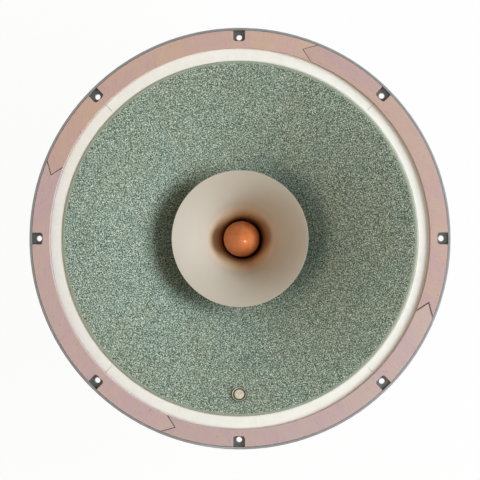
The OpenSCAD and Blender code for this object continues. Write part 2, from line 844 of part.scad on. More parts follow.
module phase_plug() {
    shoulder_z = plug_tip_z - nose_len;
    // Even turns of an arc, so that the steps are short where the nose closes
    nose = [
        for (k = [0 : nose_steps])
            let (share = sin(90 * k / nose_steps))
            [plug_r * pow(max(0, 1 - share * share), nose_power), shoulder_z + nose_len * share]
    ];
    color("peru") difference() {
        rotate_extrude() polygon(concat([[0, cap_top_z], [plug_r, cap_top_z]], nose));
        translate([0, 0, cap_top_z - past])
            cylinder(d = stud_d + 2 * thread_gap, h = plug_thread_h + past);
    }
}

module plug_stud() {
    low = foot_z - stud_in_pole + past;
    color("silver") translate([0, 0, low])
        cylinder(d = stud_d, h = cap_top_z + plug_thread_h - past - low);
}

module terminal_board() {
    corner = 2.5;
    post_low = board_low_z + board_h / 2;
    color("saddlebrown") difference() {
        translate([0, board_in_y, post_low]) rotate([90, 0, 0]) linear_extrude(board_t) {
            square([board_w - 2 * corner, board_h], center = true);
            square([board_w, board_h - 2 * corner], center = true);
            for (x = [-1, 1], y = [-1, 1])
                translate([x * (board_w / 2 - corner), y * (board_h / 2 - corner)])
                    circle(r = corner);
        }
        for (side = [-1, 1]) {
            translate([side * board_screw_pitch / 2, board_in_y + past, board_screw_z])
                rotate([90, 0, 0])
                    cylinder(d = small_screw_d + 2 * screw_gap, h = board_t + 2 * past);
            translate([side * post_pitch / 2, board_in_y + past, post_z]) rotate([90, 0, 0])
                cylinder(r = post_stem_r + screw_gap, h = board_t + 2 * past);
        }
    }
}

module terminal_board_screws() {
    color("silver") for (side = [-1, 1])
        translate([side * board_screw_pitch / 2, board_y, board_screw_z]) rotate([90, 0, 0])
            small_screw(board_t + board_screw_len - 2 * past);
}

// A push terminal's barrel, with its stem and nut through the board
module terminal_body(side) {
    color("silver") translate([side * post_pitch / 2, board_y, post_z]) rotate([90, 0, 0])
        difference() {
            union() {
                cylinder(d = post_d + 2 * post_washer_past, h = post_washer_t);
                cylinder(d = post_d, h = post_len);
                translate([0, 0, -board_t - post_stem_in])
                    cylinder(r = post_stem_r, h = board_t + post_stem_in + past);
                translate([0, 0, -board_t - post_nut_t])
                    cylinder(r = post_nut_r, h = post_nut_t, $fn = 6);
            }
            translate([0, 0, post_floor]) cylinder(r = bore_r, h = post_len);
            translate([0, -post_d, board_y - wire_y]) rotate([-90, 0, 0])
                cylinder(d = wire_d, h = post_d * 2);
        }
}

// A push terminal's plunger: its button, and a stem with the wire hole across it
module terminal_plunger(side) {
    out = post_end_y - button_in_y;
    color(side > 0 ? "firebrick" : "black")
        translate([side * post_pitch / 2, post_end_y, post_z]) rotate([90, 0, 0])
            difference() {
                union() {
                    translate([0, 0, out]) cylinder(d = post_d, h = button_t * 0.8);
                    translate([0, 0, out + button_t * 0.8])
                        cylinder(d1 = post_d, d2 = post_d * 0.8, h = button_t * 0.2);
                    translate([0, 0, -stem_start_y + post_end_y])
                        cylinder(r = plunger_r, h = stem_start_y - post_end_y + out + past);
                }
                translate([0, -post_d, post_end_y - wire_y + press]) rotate([-90, 0, 0])
                    cylinder(d = wire_d, h = post_d * 2);
            }
}

// The places along a terminal's spring
function spring_path(side) =
    let (steps = 8 * spring_turns, run = spring_len - spring_wire)
    [for (k = [0 : steps])
        let (turn = 360 * k / 8)
        [
            side * post_pitch / 2 + spring_r * cos(turn),
            spring_start_y - spring_wire / 2 - run * k / steps,
            post_z + spring_r * sin(turn)
        ]];

// The least gap between a spring's turns, measured on its points
function least_gap(path) = min([
    for (i = [0 : len(path) - 1], j = [i + 4 : 1 : len(path) - 1]) norm(path[i] - path[j])
]) - spring_wire;

module terminal_spring(side) {
    path = spring_path(side);
    echo(spring_gap = least_gap(path));
    middle = [side * post_pitch / 2, 0, post_z];
    outwards = [for (p = path) unit([p[0] - middle[0], 0, p[2] - middle[2]])];
    color("silver") tube(path, outwards, spring_wire / 2, 6);
}

// The insulating block on the pot that carries the field coil's two terminals
module field_terminal_block() {
    color("saddlebrown") difference() {
        translate([-block_w / 2, block_y, block_z - block_h / 2])
            cube([block_w, -block_y, block_h]);
        translate([0, 0, block_z - block_h]) cylinder(r = magnet_r + glue_gap, h = block_h * 2);
        for (side = [-1, 1]) {
            translate([side * block_screw_pitch / 2, block_y - past, block_z]) rotate([-90, 0, 0])
                cylinder(d = small_screw_d + 2 * screw_gap, h = block_t * 2);
            translate([side * block_pitch / 2, block_y - past, block_z]) rotate([-90, 0, 0])
                cylinder(
                    d = small_screw_d + 2 * thread_gap, h = block_t - block_floor + past
                );
        }
    }
}

module field_block_screws() {
    color("silver") for (side = [-1, 1])
        translate([side * block_screw_pitch / 2, block_y, block_z]) rotate([90, 0, 0])
            small_screw(block_screw_len);
}

module field_terminal_screws() {
    color("goldenrod") for (side = [-1, 1])
        translate([side * block_pitch / 2, block_y, block_z]) rotate([90, 0, 0]) {
            cylinder(d = small_head_d + 2 * tag_past, h = tag_t);
            translate([0, 0, tag_t]) small_screw(block_t - block_floor - past);
        }
}

basket();
gasket_segment(1);  // gasket_segment_1
gasket_segment(2);  // gasket_segment_2
gasket_segment(3);  // gasket_segment_3
gasket_segment(4);  // gasket_segment_4
surround_strip(1);  // surround_strip_1
surround_strip(2);  // surround_strip_2
surround_strip(3);  // surround_strip_3
surround_strip(4);  // surround_strip_4
main_cone();
whizzer_cone();
coil_former();
voice_coil_winding();
cone_badge();
lead_eyelets();
coil_leads();
tinsel_lead(-1);  // tinsel_lead_left
tinsel_lead(1);  // tinsel_lead_right
centring_disc();
disc_clamp_ring();
clamp_ring_screws();
basket_screws();
front_plate();
pole_piece();
pole_cap();
pot();
back_plate();
back_plate_screws();
pole_bolt();
field_coil_bobbin();
field_coil_winding();
phase_plug();
plug_stud();
terminal_board();
terminal_board_screws();
terminal_body(-1);  // terminal_body_left
terminal_body(1);  // terminal_body_right
terminal_plunger(-1);  // terminal_plunger_left
terminal_plunger(1);  // terminal_plunger_right
terminal_spring(-1);  // terminal_spring_left
terminal_spring(1);  // terminal_spring_right
field_terminal_block();
field_block_screws();
field_terminal_screws();
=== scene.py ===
"""A round full-range speaker driver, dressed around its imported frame.

The driver lies on its magnet and faces up, along +Z. Millimetres are turned to metres by mm().
"""

from __future__ import annotations

import json
import logging
import random
from dataclasses import dataclass, field, replace
from enum import Enum
from functools import partialmethod
from math import atan, cos, exp, hypot, pi, radians, sin, tau
from typing import Callable, Iterator, Sequence, Union

import bmesh
import bpy
from mathutils import Matrix, Vector

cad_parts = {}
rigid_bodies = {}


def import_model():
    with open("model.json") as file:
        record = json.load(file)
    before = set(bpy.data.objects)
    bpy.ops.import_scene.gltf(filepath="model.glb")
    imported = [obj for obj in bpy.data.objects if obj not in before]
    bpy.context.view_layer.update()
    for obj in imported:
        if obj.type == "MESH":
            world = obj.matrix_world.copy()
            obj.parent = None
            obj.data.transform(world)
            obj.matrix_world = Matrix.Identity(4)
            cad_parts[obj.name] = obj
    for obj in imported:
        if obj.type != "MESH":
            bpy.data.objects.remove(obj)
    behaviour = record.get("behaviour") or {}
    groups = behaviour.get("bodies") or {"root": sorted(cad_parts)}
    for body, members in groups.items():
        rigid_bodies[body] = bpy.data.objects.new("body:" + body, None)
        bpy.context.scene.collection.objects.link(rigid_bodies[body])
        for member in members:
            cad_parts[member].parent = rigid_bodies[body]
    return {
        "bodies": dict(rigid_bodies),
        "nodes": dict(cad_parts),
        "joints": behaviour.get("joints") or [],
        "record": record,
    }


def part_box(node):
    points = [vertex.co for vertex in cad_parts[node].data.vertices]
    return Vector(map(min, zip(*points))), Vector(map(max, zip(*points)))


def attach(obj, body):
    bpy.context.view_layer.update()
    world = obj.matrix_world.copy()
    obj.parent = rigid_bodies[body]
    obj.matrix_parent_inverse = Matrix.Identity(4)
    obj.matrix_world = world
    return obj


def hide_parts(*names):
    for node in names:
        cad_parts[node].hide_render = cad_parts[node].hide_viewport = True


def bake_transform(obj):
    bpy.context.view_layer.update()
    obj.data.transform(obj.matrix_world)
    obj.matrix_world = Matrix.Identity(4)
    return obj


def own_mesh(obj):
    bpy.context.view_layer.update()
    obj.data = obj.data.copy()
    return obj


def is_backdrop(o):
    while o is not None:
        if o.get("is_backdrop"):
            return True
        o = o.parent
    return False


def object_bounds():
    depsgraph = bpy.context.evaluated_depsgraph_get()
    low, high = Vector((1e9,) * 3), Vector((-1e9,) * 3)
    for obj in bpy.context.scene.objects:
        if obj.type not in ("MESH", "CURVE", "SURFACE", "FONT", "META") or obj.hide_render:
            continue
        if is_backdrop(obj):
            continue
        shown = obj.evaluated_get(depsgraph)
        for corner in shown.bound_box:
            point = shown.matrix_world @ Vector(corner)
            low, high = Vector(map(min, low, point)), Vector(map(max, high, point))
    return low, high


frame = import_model()

LOG = logging.getLogger("driver")
Tree, Node, Socket = bpy.types.NodeTree, bpy.types.Node, bpy.types.NodeSocket
Piece, Mesh, Material = bpy.types.Object, bpy.types.Mesh, bpy.types.Material
Wire = Union["Term", Socket, float, tuple]
Layers = Iterator[tuple[Wire, Wire]]
Outline = list[tuple[float, float]]
# Edges that turn by more than this many degrees stay sharp, and on thin sheets by more than the second
SHARP, SHARP_SHEET = 35.0, 50.0
# Points of a mesh that are nearer than this are one, in millimetres
SAME = 0.002
# Faces that lean less than this on each other are one flat face, in degrees
FLAT = 0.05
# Where a noise's values begin and end for the eye
NOISE_SPAN = (0.25, 0.75)


class Body(Enum):
    """What a piece moves with."""

    CHASSIS = "chassis"
    CONE = "moving_cone"
    LEFT_PLUNGER = "plunger_left"
    RIGHT_PLUNGER = "plunger_right"


class Side(Enum):
    """The two sides of the driver, seen from its front."""

    LEFT = -1
    RIGHT = 1

    @property
    def word(self) -> str:
        """The side's name as the pieces' names have it."""
        return self.name.lower()


def mm(value: float) -> float:
    """Millimetres in metres."""
    return value / 1000


def polar(out: float, bearing: float, height: float) -> tuple[float, float, float]:
    """A point's place in metres, from its radius and height in millimetres and its bearing in radians."""
    return mm(out) * cos(bearing), mm(out) * sin(bearing), mm(height)


def linear(hex_code: str) -> tuple[float, float, float, float]:
    """Turns an sRGB hex colour to linear light.

    Args:
        hex_code: Six hex digits, red first.

    Returns:
        The linear colour with an alpha of one.
    """
    parts = [int(hex_code[k:k + 2], 16) / 255 for k in (0, 2, 4)]
    light = [c / 12.92 if c <= 0.04045 else ((c + 0.055) / 1.055) ** 2.4 for c in parts]
    return (*light, 1.0)


def add(
    tree: Tree,
    kind: str,
    taken: dict[Union[str, int], Wire] | None = None,
    stops: Sequence[tuple[float, str]] = (),
    **settings: object,
) -> Node:
    """Adds a node with its settings and links.

    Args:
        tree: The tree that the node goes into.
        kind: The node's type name.
        taken: What each input takes, a socket or a value, by the input's name or number.
        stops: A colour ramp's places and hex colours.
        settings: The node's own settings.

    Returns:
        The new node.
    """
    node = tree.nodes.new(kind)
    for name, value in settings.items():
        setattr(node, name, value)
    for key, value in (taken or {}).items():
        value = getattr(value, "what", value)
        if isinstance(value, Socket):
            tree.links.new(value, node.inputs[key])
        else:
            node.inputs[key].default_value = value
    for number, (place, hex_code) in enumerate(stops):
        elements = node.color_ramp.elements
        element = elements[number] if number < 2 else elements.new(place)
        element.position = place
        element.color = linear(hex_code)
    return node


@dataclass(frozen=True)
class Term:
    """A number that a tree works out, where each of Python's own signs adds a Math node."""

    tree: Tree
    what: Wire

    def do(self, operation: str, *others: Wire) -> Term:
        """Adds the Math node that does an operation to this term and the others."""
        taken = dict(enumerate((self, *others)))
        return Term(self.tree, add(self.tree, "ShaderNodeMath", taken, operation=operation).outputs[0])

    __add__ = partialmethod(do, "ADD")
    __sub__ = partialmethod(do, "SUBTRACT")
    __mul__ = partialmethod(do, "MULTIPLY")
    __truediv__ = partialmethod(do, "DIVIDE")

    def __rsub__(self, other: float) -> Term:
        """A number less this term."""
        return Term(self.tree, other).do("SUBTRACT", self)

    def within(self, least: float, most: float) -> Term:
        """This term, kept between two numbers."""
        return self.do("MAXIMUM", least).do("MINIMUM", most)

    def run(self, start: float, end: float, most: float = 1.0) -> Term:
        """How far this term has come from a start to an end, from nought to the most."""
        return ((self - start) / (end - start)).within(0.0, 1.0) * most

    def turned(self, radius: Wire) -> tuple[Term, Term]:
        """The two coordinates at this angle and a radius."""
        return self.do("COSINE") * radius, self.do("SINE") * radius


def terms(tree: Tree, kind: str, taken: dict[Union[str, int], Wire], **settings: str) -> list[Term]:
    """Adds a node and gives its outputs as terms."""
    return [Term(tree, part) for part in add(tree, kind, taken, **settings).outputs]


def off_axis(tree: Tree, place: Wire) -> Term:
    """A place's distance from the driver's axis."""
    flat = add(tree, "ShaderNodeVectorMath", {0: place, 1: (1.0, 1.0, 0.0)}, operation="MULTIPLY")
    return terms(tree, "ShaderNodeVectorMath", {0: flat.outputs[0]}, operation="LENGTH")[1]


def pattern(tree: Tree, place: Wire, size_mm: float, kind: str = "Noise", **inputs: float) -> Term:
    """Adds a texture whose features have a real size, at a place in millimetres."""
    taken = {"Vector": place, "Scale": 1 / size_mm}
    taken |= {name.title(): value for name, value in inputs.items()}
    return terms(tree, f"ShaderNodeTex{kind}", taken)[0]


def emptied(owner: Union[Material, bpy.types.World]) -> Tree:
    """The node tree of a material or a world, emptied."""
    owner.use_nodes = True
    owner.node_tree.nodes.clear()
    return owner.node_tree


@dataclass(frozen=True)
class Finish:
    """A surface: what it is made of and how it was made, with a mottling and a relief in real sizes.

    The tones run from dark to light, and the shader's constants stay on its own sockets.
    """

    name: str
    tones: tuple[str, ...]
    grain_mm: float = 1.0
    stretch: tuple[float, float, float] = (1.0, 1.0, 1.0)
    turn: float = 0.0
    spread: float = 0.3
    relief_mm: float = 0.0
    relief_grain_mm: float = 1.0
    roughness: tuple[float, float] = (0.5, 0.6)
    metallic: float = 0.0
    sheen: float = 0.0
    coat: float = 0.0
    coat_roughness: float = 0.1
    anisotropic: float = 0.0
    specular: float = 0.5

    def place(self, tree: Tree) -> Socket:
        """The piece's own coordinates in millimetres, turned and stretched for the grain."""
        own = add(tree, "ShaderNodeTexCoord").outputs["Object"]
        level = add(tree, "ShaderNodeMapping", {"Vector": own, "Rotation": (0.0, 0.0, -self.turn)})
        scale = tuple(1000 / s for s in self.stretch)
        return add(tree, "ShaderNodeMapping", {"Vector": level.outputs[0], "Scale": scale}).outputs[0]

    def colour(self, tree: Tree, place: Wire) -> Socket:
        """The mottled colour, between the darkest and the lightest tone, under its layers."""
        last = len(self.tones) - 1
        stops = [(0.5 + self.spread * (k / last - 0.5), tone) for k, tone in enumerate(self.tones)]
        colour = add(tree, "ShaderNodeValToRGB", {"Fac": self.mottle(tree, place)}, stops).outputs[0]
        for share, over in self.layers(tree, place):
            colour = add(tree, "ShaderNodeMix", {0: share, 6: colour, 7: over}, data_type="RGBA").outputs[2]
        return colour

    def mottle(self, tree: Tree, place: Wire) -> Term:
        """Where between its tones the surface is, with the middle at a half."""
        return pattern(tree, place, self.grain_mm, detail=5.0, roughness=0.6)

    def layers(self, tree: Tree, place: Wire) -> Layers:
        """The share and the colour of each layer over the mottling, from the lowest up."""
        yield from ()

    def height(self, tree: Tree, place: Wire) -> Term:
        """The relief's height, from zero to one."""
        return pattern(tree, place, self.relief_grain_mm, detail=3.0)

    def make(self) -> Material:
        """Builds the material."""
        material = bpy.data.materials.new(self.name)
        tree = emptied(material)
        place = self.place(tree)
        height = self.height(tree, place)
        low, high = self.roughness
        shader = add(tree, "ShaderNodeBsdfPrincipled", {
            "Base Color": self.colour(tree, place), "Roughness": height.run(*NOISE_SPAN, high - low) + low,
            "Metallic": self.metallic, "Sheen Weight": self.sheen, "Coat Weight": self.coat,
            "Coat Roughness": self.coat_roughness, "Anisotropic": self.anisotropic,
            "Specular IOR Level": self.specular})
        if self.relief_mm:
            bump = add(tree, "ShaderNodeBump", {
                "Height": height, "Distance": mm(self.relief_mm), "Strength": 1.0})
            tree.links.new(bump.outputs[0], shader.inputs["Normal"])
        if self.anisotropic:
            # Turned about the driver's axis, so the tool's marks run round it
            around = add(tree, "ShaderNodeTangent", direction_type="RADIAL", axis="Z")
            tree.links.new(around.outputs[0], shader.inputs["Tangent"])
        add(tree, "ShaderNodeOutputMaterial", {"Surface": shader.outputs[0]})
        return material


@dataclass(frozen=True)
class Enamel(Finish):
    """Stoved enamel on a casting or a turned part, worn to a lighter tone along its edges."""

    worn: str = "a0a09c"
    worn_most: float = 0.8
    edge_mm: float = 0.7
    # The cosines of the turn at which an edge begins to look worn and is worn through
    edge_turn: tuple[float, float] = (0.985, 0.8)

    def layers(self, tree: Tree, place: Wire) -> Layers:
        """The worn tone where the surface turns sharply."""
        rounded = add(tree, "ShaderNodeBevel", {"Radius": mm(self.edge_mm)}, samples=4).outputs[0]
        true = add(tree, "ShaderNodeNewGeometry").outputs["Normal"]
        along = terms(tree, "ShaderNodeVectorMath", {0: rounded, 1: true}, operation="DOT_PRODUCT")[1]
        yield along.run(*self.edge_turn, self.worn_most), linear(self.worn)


@dataclass(frozen=True)
class Bedded(Enamel):
    """Enamel on a flange, painted darker on the face that the gasket lies on, as shade in the notches where
    that face shows.
    """

    # The bed's tone is painted shade for the notch floors
    bed: str = "585b56"
    bed_z: float = 5.0
    near: float = 0.15

    def layers(self, tree: Tree, place: Wire) -> Layers:
        """The worn tone, and the painted notch shade at the bed's height."""
        yield from super().layers(tree, place)
        z = terms(tree, "ShaderNodeSeparateXYZ", {0: place})[2]
        yield z.do("COMPARE", self.bed_z, self.near), linear(self.bed)


@dataclass(frozen=True)
class FibreBoard(Finish):
    """Pressed fibre board: fibres that lie along the sheet, and darker specks of bark."""

    speck: str = "8a6a5e"
    speck_mm: float = 1.3
    # The noise's values where a speck begins and is full
    speck_edge: tuple[float, float] = (0.64, 0.76)
    speck_most: float = 0.5
    blush: tuple[str, str] = ("cbae98", "c5a2a8")
    blush_mm: float = 14.0
    blush_share: float = 0.35

    def layers(self, tree: Tree, place: Wire) -> Layers:
        """A blush that is somewhere tanner and elsewhere pinker, and the specks."""
        slow = pattern(tree, place, self.blush_mm, detail=3.0)
        yield self.blush_share, add(tree, "ShaderNodeValToRGB", {"Fac": slow}, [
            (0.42, self.blush[0]), (0.58, self.blush[1])]).outputs[0]
        fleck = pattern(tree, place, self.speck_mm, detail=2.0)
        yield fleck.run(*self.speck_edge, self.speck_most), linear(self.speck)


@dataclass(frozen=True)
class Pulp(Finish):
    """Felted paper pulp: fine tufts, dark specks, a slow drift of the dye and a pressed hem."""

    drift: tuple[str, str] = ("84a49c", "9da28a")
    drift_mm: float = 38.0
    drift_share: float = 0.12
    speck: str = "1c2620"
    speck_mm: float = 2.3
    # The distance from a cell's middle, as a share of its size, where its speck begins and is full
    speck_edge: tuple[float, float] = (0.3, 0.16)
    speck_most: float = 0.8
    hem: str = "a3ab96"
    # The radii where the hem begins and is full
    hem_mm: tuple[float, float] = (160.6, 161.6)
    hem_most: float = 0.75

    def layers(self, tree: Tree, place: Wire) -> Layers:
        """The specks, the plain hem and the drifting dye."""
        cells = pattern(tree, place, self.speck_mm, "Voronoi")
        yield cells.run(*self.speck_edge, self.speck_most), linear(self.speck)
        yield off_axis(tree, place).run(*self.hem_mm, self.hem_most), linear(self.hem)
        slow = pattern(tree, place, self.drift_mm, detail=3.0, roughness=0.6)
        yield self.drift_share, add(tree, "ShaderNodeValToRGB", {"Fac": slow}, [
            (0.4, self.drift[0]), (0.6, self.drift[1])]).outputs[0]

    def height(self, tree: Tree, place: Wire) -> Term:
        """Tufts and the fine fibres on them."""
        return pattern(tree, place, self.relief_grain_mm, detail=6.0, roughness=0.65)


@dataclass(frozen=True)
class Dipped(Finish):
    """Paper dipped in lacquer at its neck: brown there, darkened further as painted throat shade, and
    lighter and golden beyond, which is painted warm light bounced from the copper plug.
    """

    # The paper's tone at each radius in millimetres: lacquer brown with painted throat shade at the neck,
    # then golden tones that are painted warm light from the copper plug
    stains_shade_and_glow: tuple[tuple[float, str], ...] = (
        (19.0, "8a4a20"), (21.2, "c09460"), (23.0, "dcbd8a"), (25.7, "e0cbaa"), (29.4, "d4c3a8"))
    clear_mm: float = 34.0

    def layers(self, tree: Tree, place: Wire) -> Layers:
        """The lacquer brown, the painted throat shade and the painted warm glow, which fade away from the
        driver's axis.
        """
        out = off_axis(tree, place)
        first, last = self.stains_shade_and_glow[0][0], self.stains_shade_and_glow[-1][0]
        stops = [((radius - first) / (last - first), tone) for radius, tone in self.stains_shade_and_glow]
        # Lacquer brown with painted throat shade, then painted glow from the plug, by radius
        stain_shade_and_glow = add(tree, "ShaderNodeValToRGB", {"Fac": out.run(first, last)}, stops)
        shade_and_glow_share = out.run(self.clear_mm, last)
        yield shade_and_glow_share * shade_and_glow_share * (3.0 - shade_and_glow_share * 2.0), stain_shade_and_glow.outputs[0]


@dataclass(frozen=True)
class Struck(Finish):
    """Struck metal that has gone dark in its round grooves."""

    centre_mm: tuple[float, float, float] = (0.0, 0.0, 0.0)
    grooves: tuple[tuple[float, float], ...] = ()
    patina: str = "1f1d14"
    patina_most: float = 0.92
    # How the patina falls from a groove's middle, which it fills, to its edge
    steep: float = 1.6
    deep: float = 1.9

    def layers(self, tree: Tree, place: Wire) -> Layers:
        """The patina at the grooves' radii."""
        spot = {0: place, 1: self.centre_mm}
        away = terms(tree, "ShaderNodeVectorMath", spot, operation="DISTANCE")[1]
        for radius, half in self.grooves:
            off = (away - radius).do("ABSOLUTE") / half
            yield (off * -self.steep + self.deep).within(0.0, self.patina_most), linear(self.patina)


@dataclass(frozen=True)
class Turned(Finish):
    """Metal turned on a lathe, with the tool's fine rings round the driver's axis."""

    pitch_mm: float = 0.8

    def height(self, tree: Tree, place: Wire) -> Term:
        """The tool's rings, which follow the distance from the axis and the height together."""
        run = off_axis(tree, place) - terms(tree, "ShaderNodeSeparateXYZ", {0: place})[2]
        return (run * (tau / self.pitch_mm)).do("SINE") * 0.25 + 0.5


@dataclass(frozen=True)
class WovenCloth(Finish):
    """Open woven cloth dipped in resin, with threads along X and Y that stand out of it."""

    thread_mm: float = 1.1

    def height(self, tree: Tree, place: Wire) -> Term:
        """Threads of a plain weave, drawn a little coarser than the real cloth so that they show."""
        x, y, _ = terms(tree, "ShaderNodeSeparateXYZ", {0: place})
        turn = pi / self.thread_mm
        return (x * turn).do("SINE") * (y * turn).do("SINE") * 0.5 + 0.5

    def mottle(self, tree: Tree, place: Wire) -> Term:
        """The resin is darker between the threads."""
        return self.height(tree, place)


@dataclass(frozen=True)
class Hammered(Enamel):
    """Hammer-finish enamel, which dries in shallow round dimples."""

    dimple_mm: float = 2.6

    def height(self, tree: Tree, place: Wire) -> Term:
        """The dimples' height."""
        taken = {"Vector": place, "Scale": 1 / self.dimple_mm}
        return terms(tree, "ShaderNodeTexVoronoi", taken, feature="SMOOTH_F1")[0]


@dataclass(frozen=True)
class Wound(Finish):
    """Enamelled wire wound in close turns round the driver's axis."""

    wire_mm: float = 0.8

    def height(self, tree: Tree, place: Wire) -> Term:
        """One round crest for each turn of wire."""
        z = terms(tree, "ShaderNodeSeparateXYZ", {0: place})[2]
        return (z * (pi / self.wire_mm)).do("SINE").do("ABSOLUTE")


# Sand-cast aluminium under satin grey enamel: soft sheen, faint orange peel, pale worn edges, and painted
# shade on the bed where it shows in the notches
FRAME_ENAMEL = Bedded(
    "satin_enamel_on_cast_aluminium", ("7c8183", "888d8f", "949a9b"), grain_mm=9, spread=1.0,
    relief_mm=0.05, relief_grain_mm=1.4, roughness=(0.36, 0.46), worn="a9a8a3")
# Vulcanised fibre board: matt, pinkish beige, short fibres along the sheet
GASKET_BOARD = FibreBoard(
    "pressed_fibre_board", ("b8a19d", "cab4b0", "d6c1bb"), grain_mm=1.5,
    stretch=(4.5, 1.0, 1.0), spread=0.6, relief_mm=0.05, relief_grain_mm=0.9,
    roughness=(0.8, 0.95), specular=0.25)
# Hide glue that was pressed out of the joints and has gone dark brown
JOINT_GLUE = Finish(
    "dried_hide_glue", ("2e1c12", "452c1e"), grain_mm=2, relief_mm=0.05, relief_grain_mm=0.8,
    roughness=(0.35, 0.55))
# Thin tawed skin: ivory, matt, with fine pores
SKIN = Finish(
    "tawed_ivory_skin", ("eff1ea", "f4f6f0", "f8faf5"), grain_mm=9, spread=0.6,
    relief_mm=0.1, relief_grain_mm=0.8, roughness=(0.6, 0.75), sheen=0.15)
# Hand-felted paper pulp: matt and mottled, dyed a pale grey green
CONE_PULP = Pulp(
    "felted_green_paper_pulp", ("24332b", "5a6e61", "7d907e", "a2b4a3", "dee8de"),
    grain_mm=1.0, spread=0.21, relief_mm=0.45, relief_grain_mm=1.5, roughness=(0.85, 0.95),
    specular=0.25, sheen=0.1)
# Calendered paper: smooth and creamy, browned by the lacquer that stiffens its neck, with painted throat
# shade there and a painted warm glow from the copper plug above it
WHIZZER_PAPER = Dipped(
    "calendered_cream_paper", ("bcb4a6", "c0b8aa"), grain_mm=25, spread=0.6,
    relief_mm=0.0, roughness=(0.5, 0.6), specular=0.35)
# Copper turned to a satin and lacquered: warm, with a bow-tie of light round its axis
PLUG_COPPER = Turned(
    "turned_lacquered_copper", ("ac5c2e", "bd7140", "ca8150"), grain_mm=12, spread=0.5,
    relief_mm=0.02, pitch_mm=0.9, roughness=(0.6, 0.68), metallic=1.0, coat=0.3,
    coat_roughness=0.14, anisotropic=0.5)
# Spun copper, coloured a dull dark brown as painted shade for the closed throat
CAP_COPPER = Turned(
    "spun_copper_painted_throat_shade", ("5e3826", "6d4430"), grain_mm=9, relief_mm=0.02, pitch_mm=0.6,
    roughness=(0.62, 0.7), metallic=0.8)
# Struck brass, pale where it is rubbed and nearly black in its grooves
BADGE_BRASS = Struck(
    "struck_aged_brass", ("b1a98f", "cbc4ad", "ddd7c3"), grain_mm=2.4, spread=0.5,
    relief_mm=0.05, relief_grain_mm=0.9, roughness=(0.35, 0.45), metallic=0.6)
# Pressed brass, bright where the tool closed it
EYELET_BRASS = Finish(
    "pressed_brass", ("a98342", "c79f58"), grain_mm=1.5, roughness=(0.28, 0.36), metallic=1.0,
    relief_mm=0.01, relief_grain_mm=0.5)
# Zinc-plated steel: pale, faintly blue and cloudy
ZINC_STEEL = Finish(
    "zinc_plated_steel", ("8f9396", "a9adaf"), grain_mm=2.5, relief_mm=0.01,
    relief_grain_mm=0.6, roughness=(0.32, 0.45), metallic=1.0)
# Soft iron turned and plated
PLATE_STEEL = Turned(
    "turned_plated_iron", ("84888b", "9b9fa1"), grain_mm=12, spread=1.0, relief_mm=0.02, pitch_mm=0.7,
    roughness=(0.34, 0.44), metallic=1.0, anisotropic=0.5)
# Hammer enamel on the magnet: dark grey, glossy dimples
POT_ENAMEL = Hammered(
    "hammered_enamel_on_iron", ("3c4043", "474b4e", "54585a"), grain_mm=3, spread=0.5,
    relief_mm=0.22, roughness=(0.25, 0.36), worn="77797a", coat=0.3)
# Dull foil coloured nearly black as painted shade, so that the throat round the plug stays dark
FORMER_FOIL = Finish(
    "foil_painted_throat_shade", ("1d1b1a", "292725"), grain_mm=4, stretch=(1.0, 1.0, 6.0),
    relief_mm=0.01, roughness=(0.5, 0.6), specular=0.3)
# Wire under clear enamel, copper red
MAGNET_WIRE = Wound(
    "enamelled_copper_wire", ("8a3b1a", "a94e26"), grain_mm=2, relief_mm=0.3,
    roughness=(0.25, 0.35), metallic=0.7, coat=0.5)
# Bare braided copper tinsel round a cotton core
TINSEL = Finish(
    "braided_copper_tinsel", ("9b5f3b", "c08457"), grain_mm=0.8, relief_mm=0.03,
    relief_grain_mm=0.3, roughness=(0.38, 0.5), metallic=0.85)
# Woven cloth dipped in phenolic resin: honey brown with threads that show
DISC_CLOTH = WovenCloth(
    "resin_dipped_cloth", ("8f6a33", "b99457", "caa86c"), spread=0.9, relief_mm=0.16,
    roughness=(0.45, 0.65))
# Pressed board with a varnish on it
RING_BOARD = Finish(
    "varnished_pressed_board", ("7d5f3f", "94734f"), grain_mm=2.0, stretch=(4.0, 1.0, 1.0),
    relief_mm=0.04, roughness=(0.5, 0.65))
# Spring wire, oiled
SPRING_WIRE = Finish(
    "drawn_spring_wire", ("6f7376", "8b8f92"), grain_mm=1, roughness=(0.25, 0.35), metallic=1.0)
# Paper laminate in phenolic resin: chestnut, with a soft shine and the paper's grain
LAMINATE = Finish(
    "phenolic_paper_laminate", ("4a2715", "5d3320", "6b3e28"), grain_mm=3.0,
    stretch=(9.0, 1.0, 1.0), spread=0.5, relief_mm=0.02, roughness=(0.3, 0.42), coat=0.2)
# Nickel plate on brass, warm and bright
NICKEL = Finish(
    "nickel_plated_brass", ("b5aea2", "c9c3b8"), grain_mm=3, relief_mm=0.01,
    roughness=(0.16, 0.24), metallic=1.0)
# Moulded buttons, slightly rubbed
BLACK_BUTTON = Finish(
    "moulded_black", ("161616", "222222"), grain_mm=2, relief_mm=0.01, roughness=(0.28, 0.4))
RED_BUTTON = Finish("moulded_red", ("7e1712", "98221a"), grain_mm=2, relief_mm=0.01, roughness=(0.28, 0.4))


def placed(name: str, data: bpy.types.ID) -> Piece:
    """A new object for a mesh or other data, at the origin and in the scene."""
    piece = bpy.data.objects.new(name, data)
    bpy.context.scene.collection.objects.link(piece)
    return piece


def settle(piece: Piece) -> None:
    """Turns what the piece's modifiers make into its plain mesh, and takes them off."""
    graph = bpy.context.evaluated_depsgraph_get()
    mesh = bpy.data.meshes.new_from_object(piece.evaluated_get(graph))
    piece.modifiers.clear()
    old = piece.data
    piece.data = mesh
    bpy.data.meshes.remove(old)
    mesh.name = piece.name


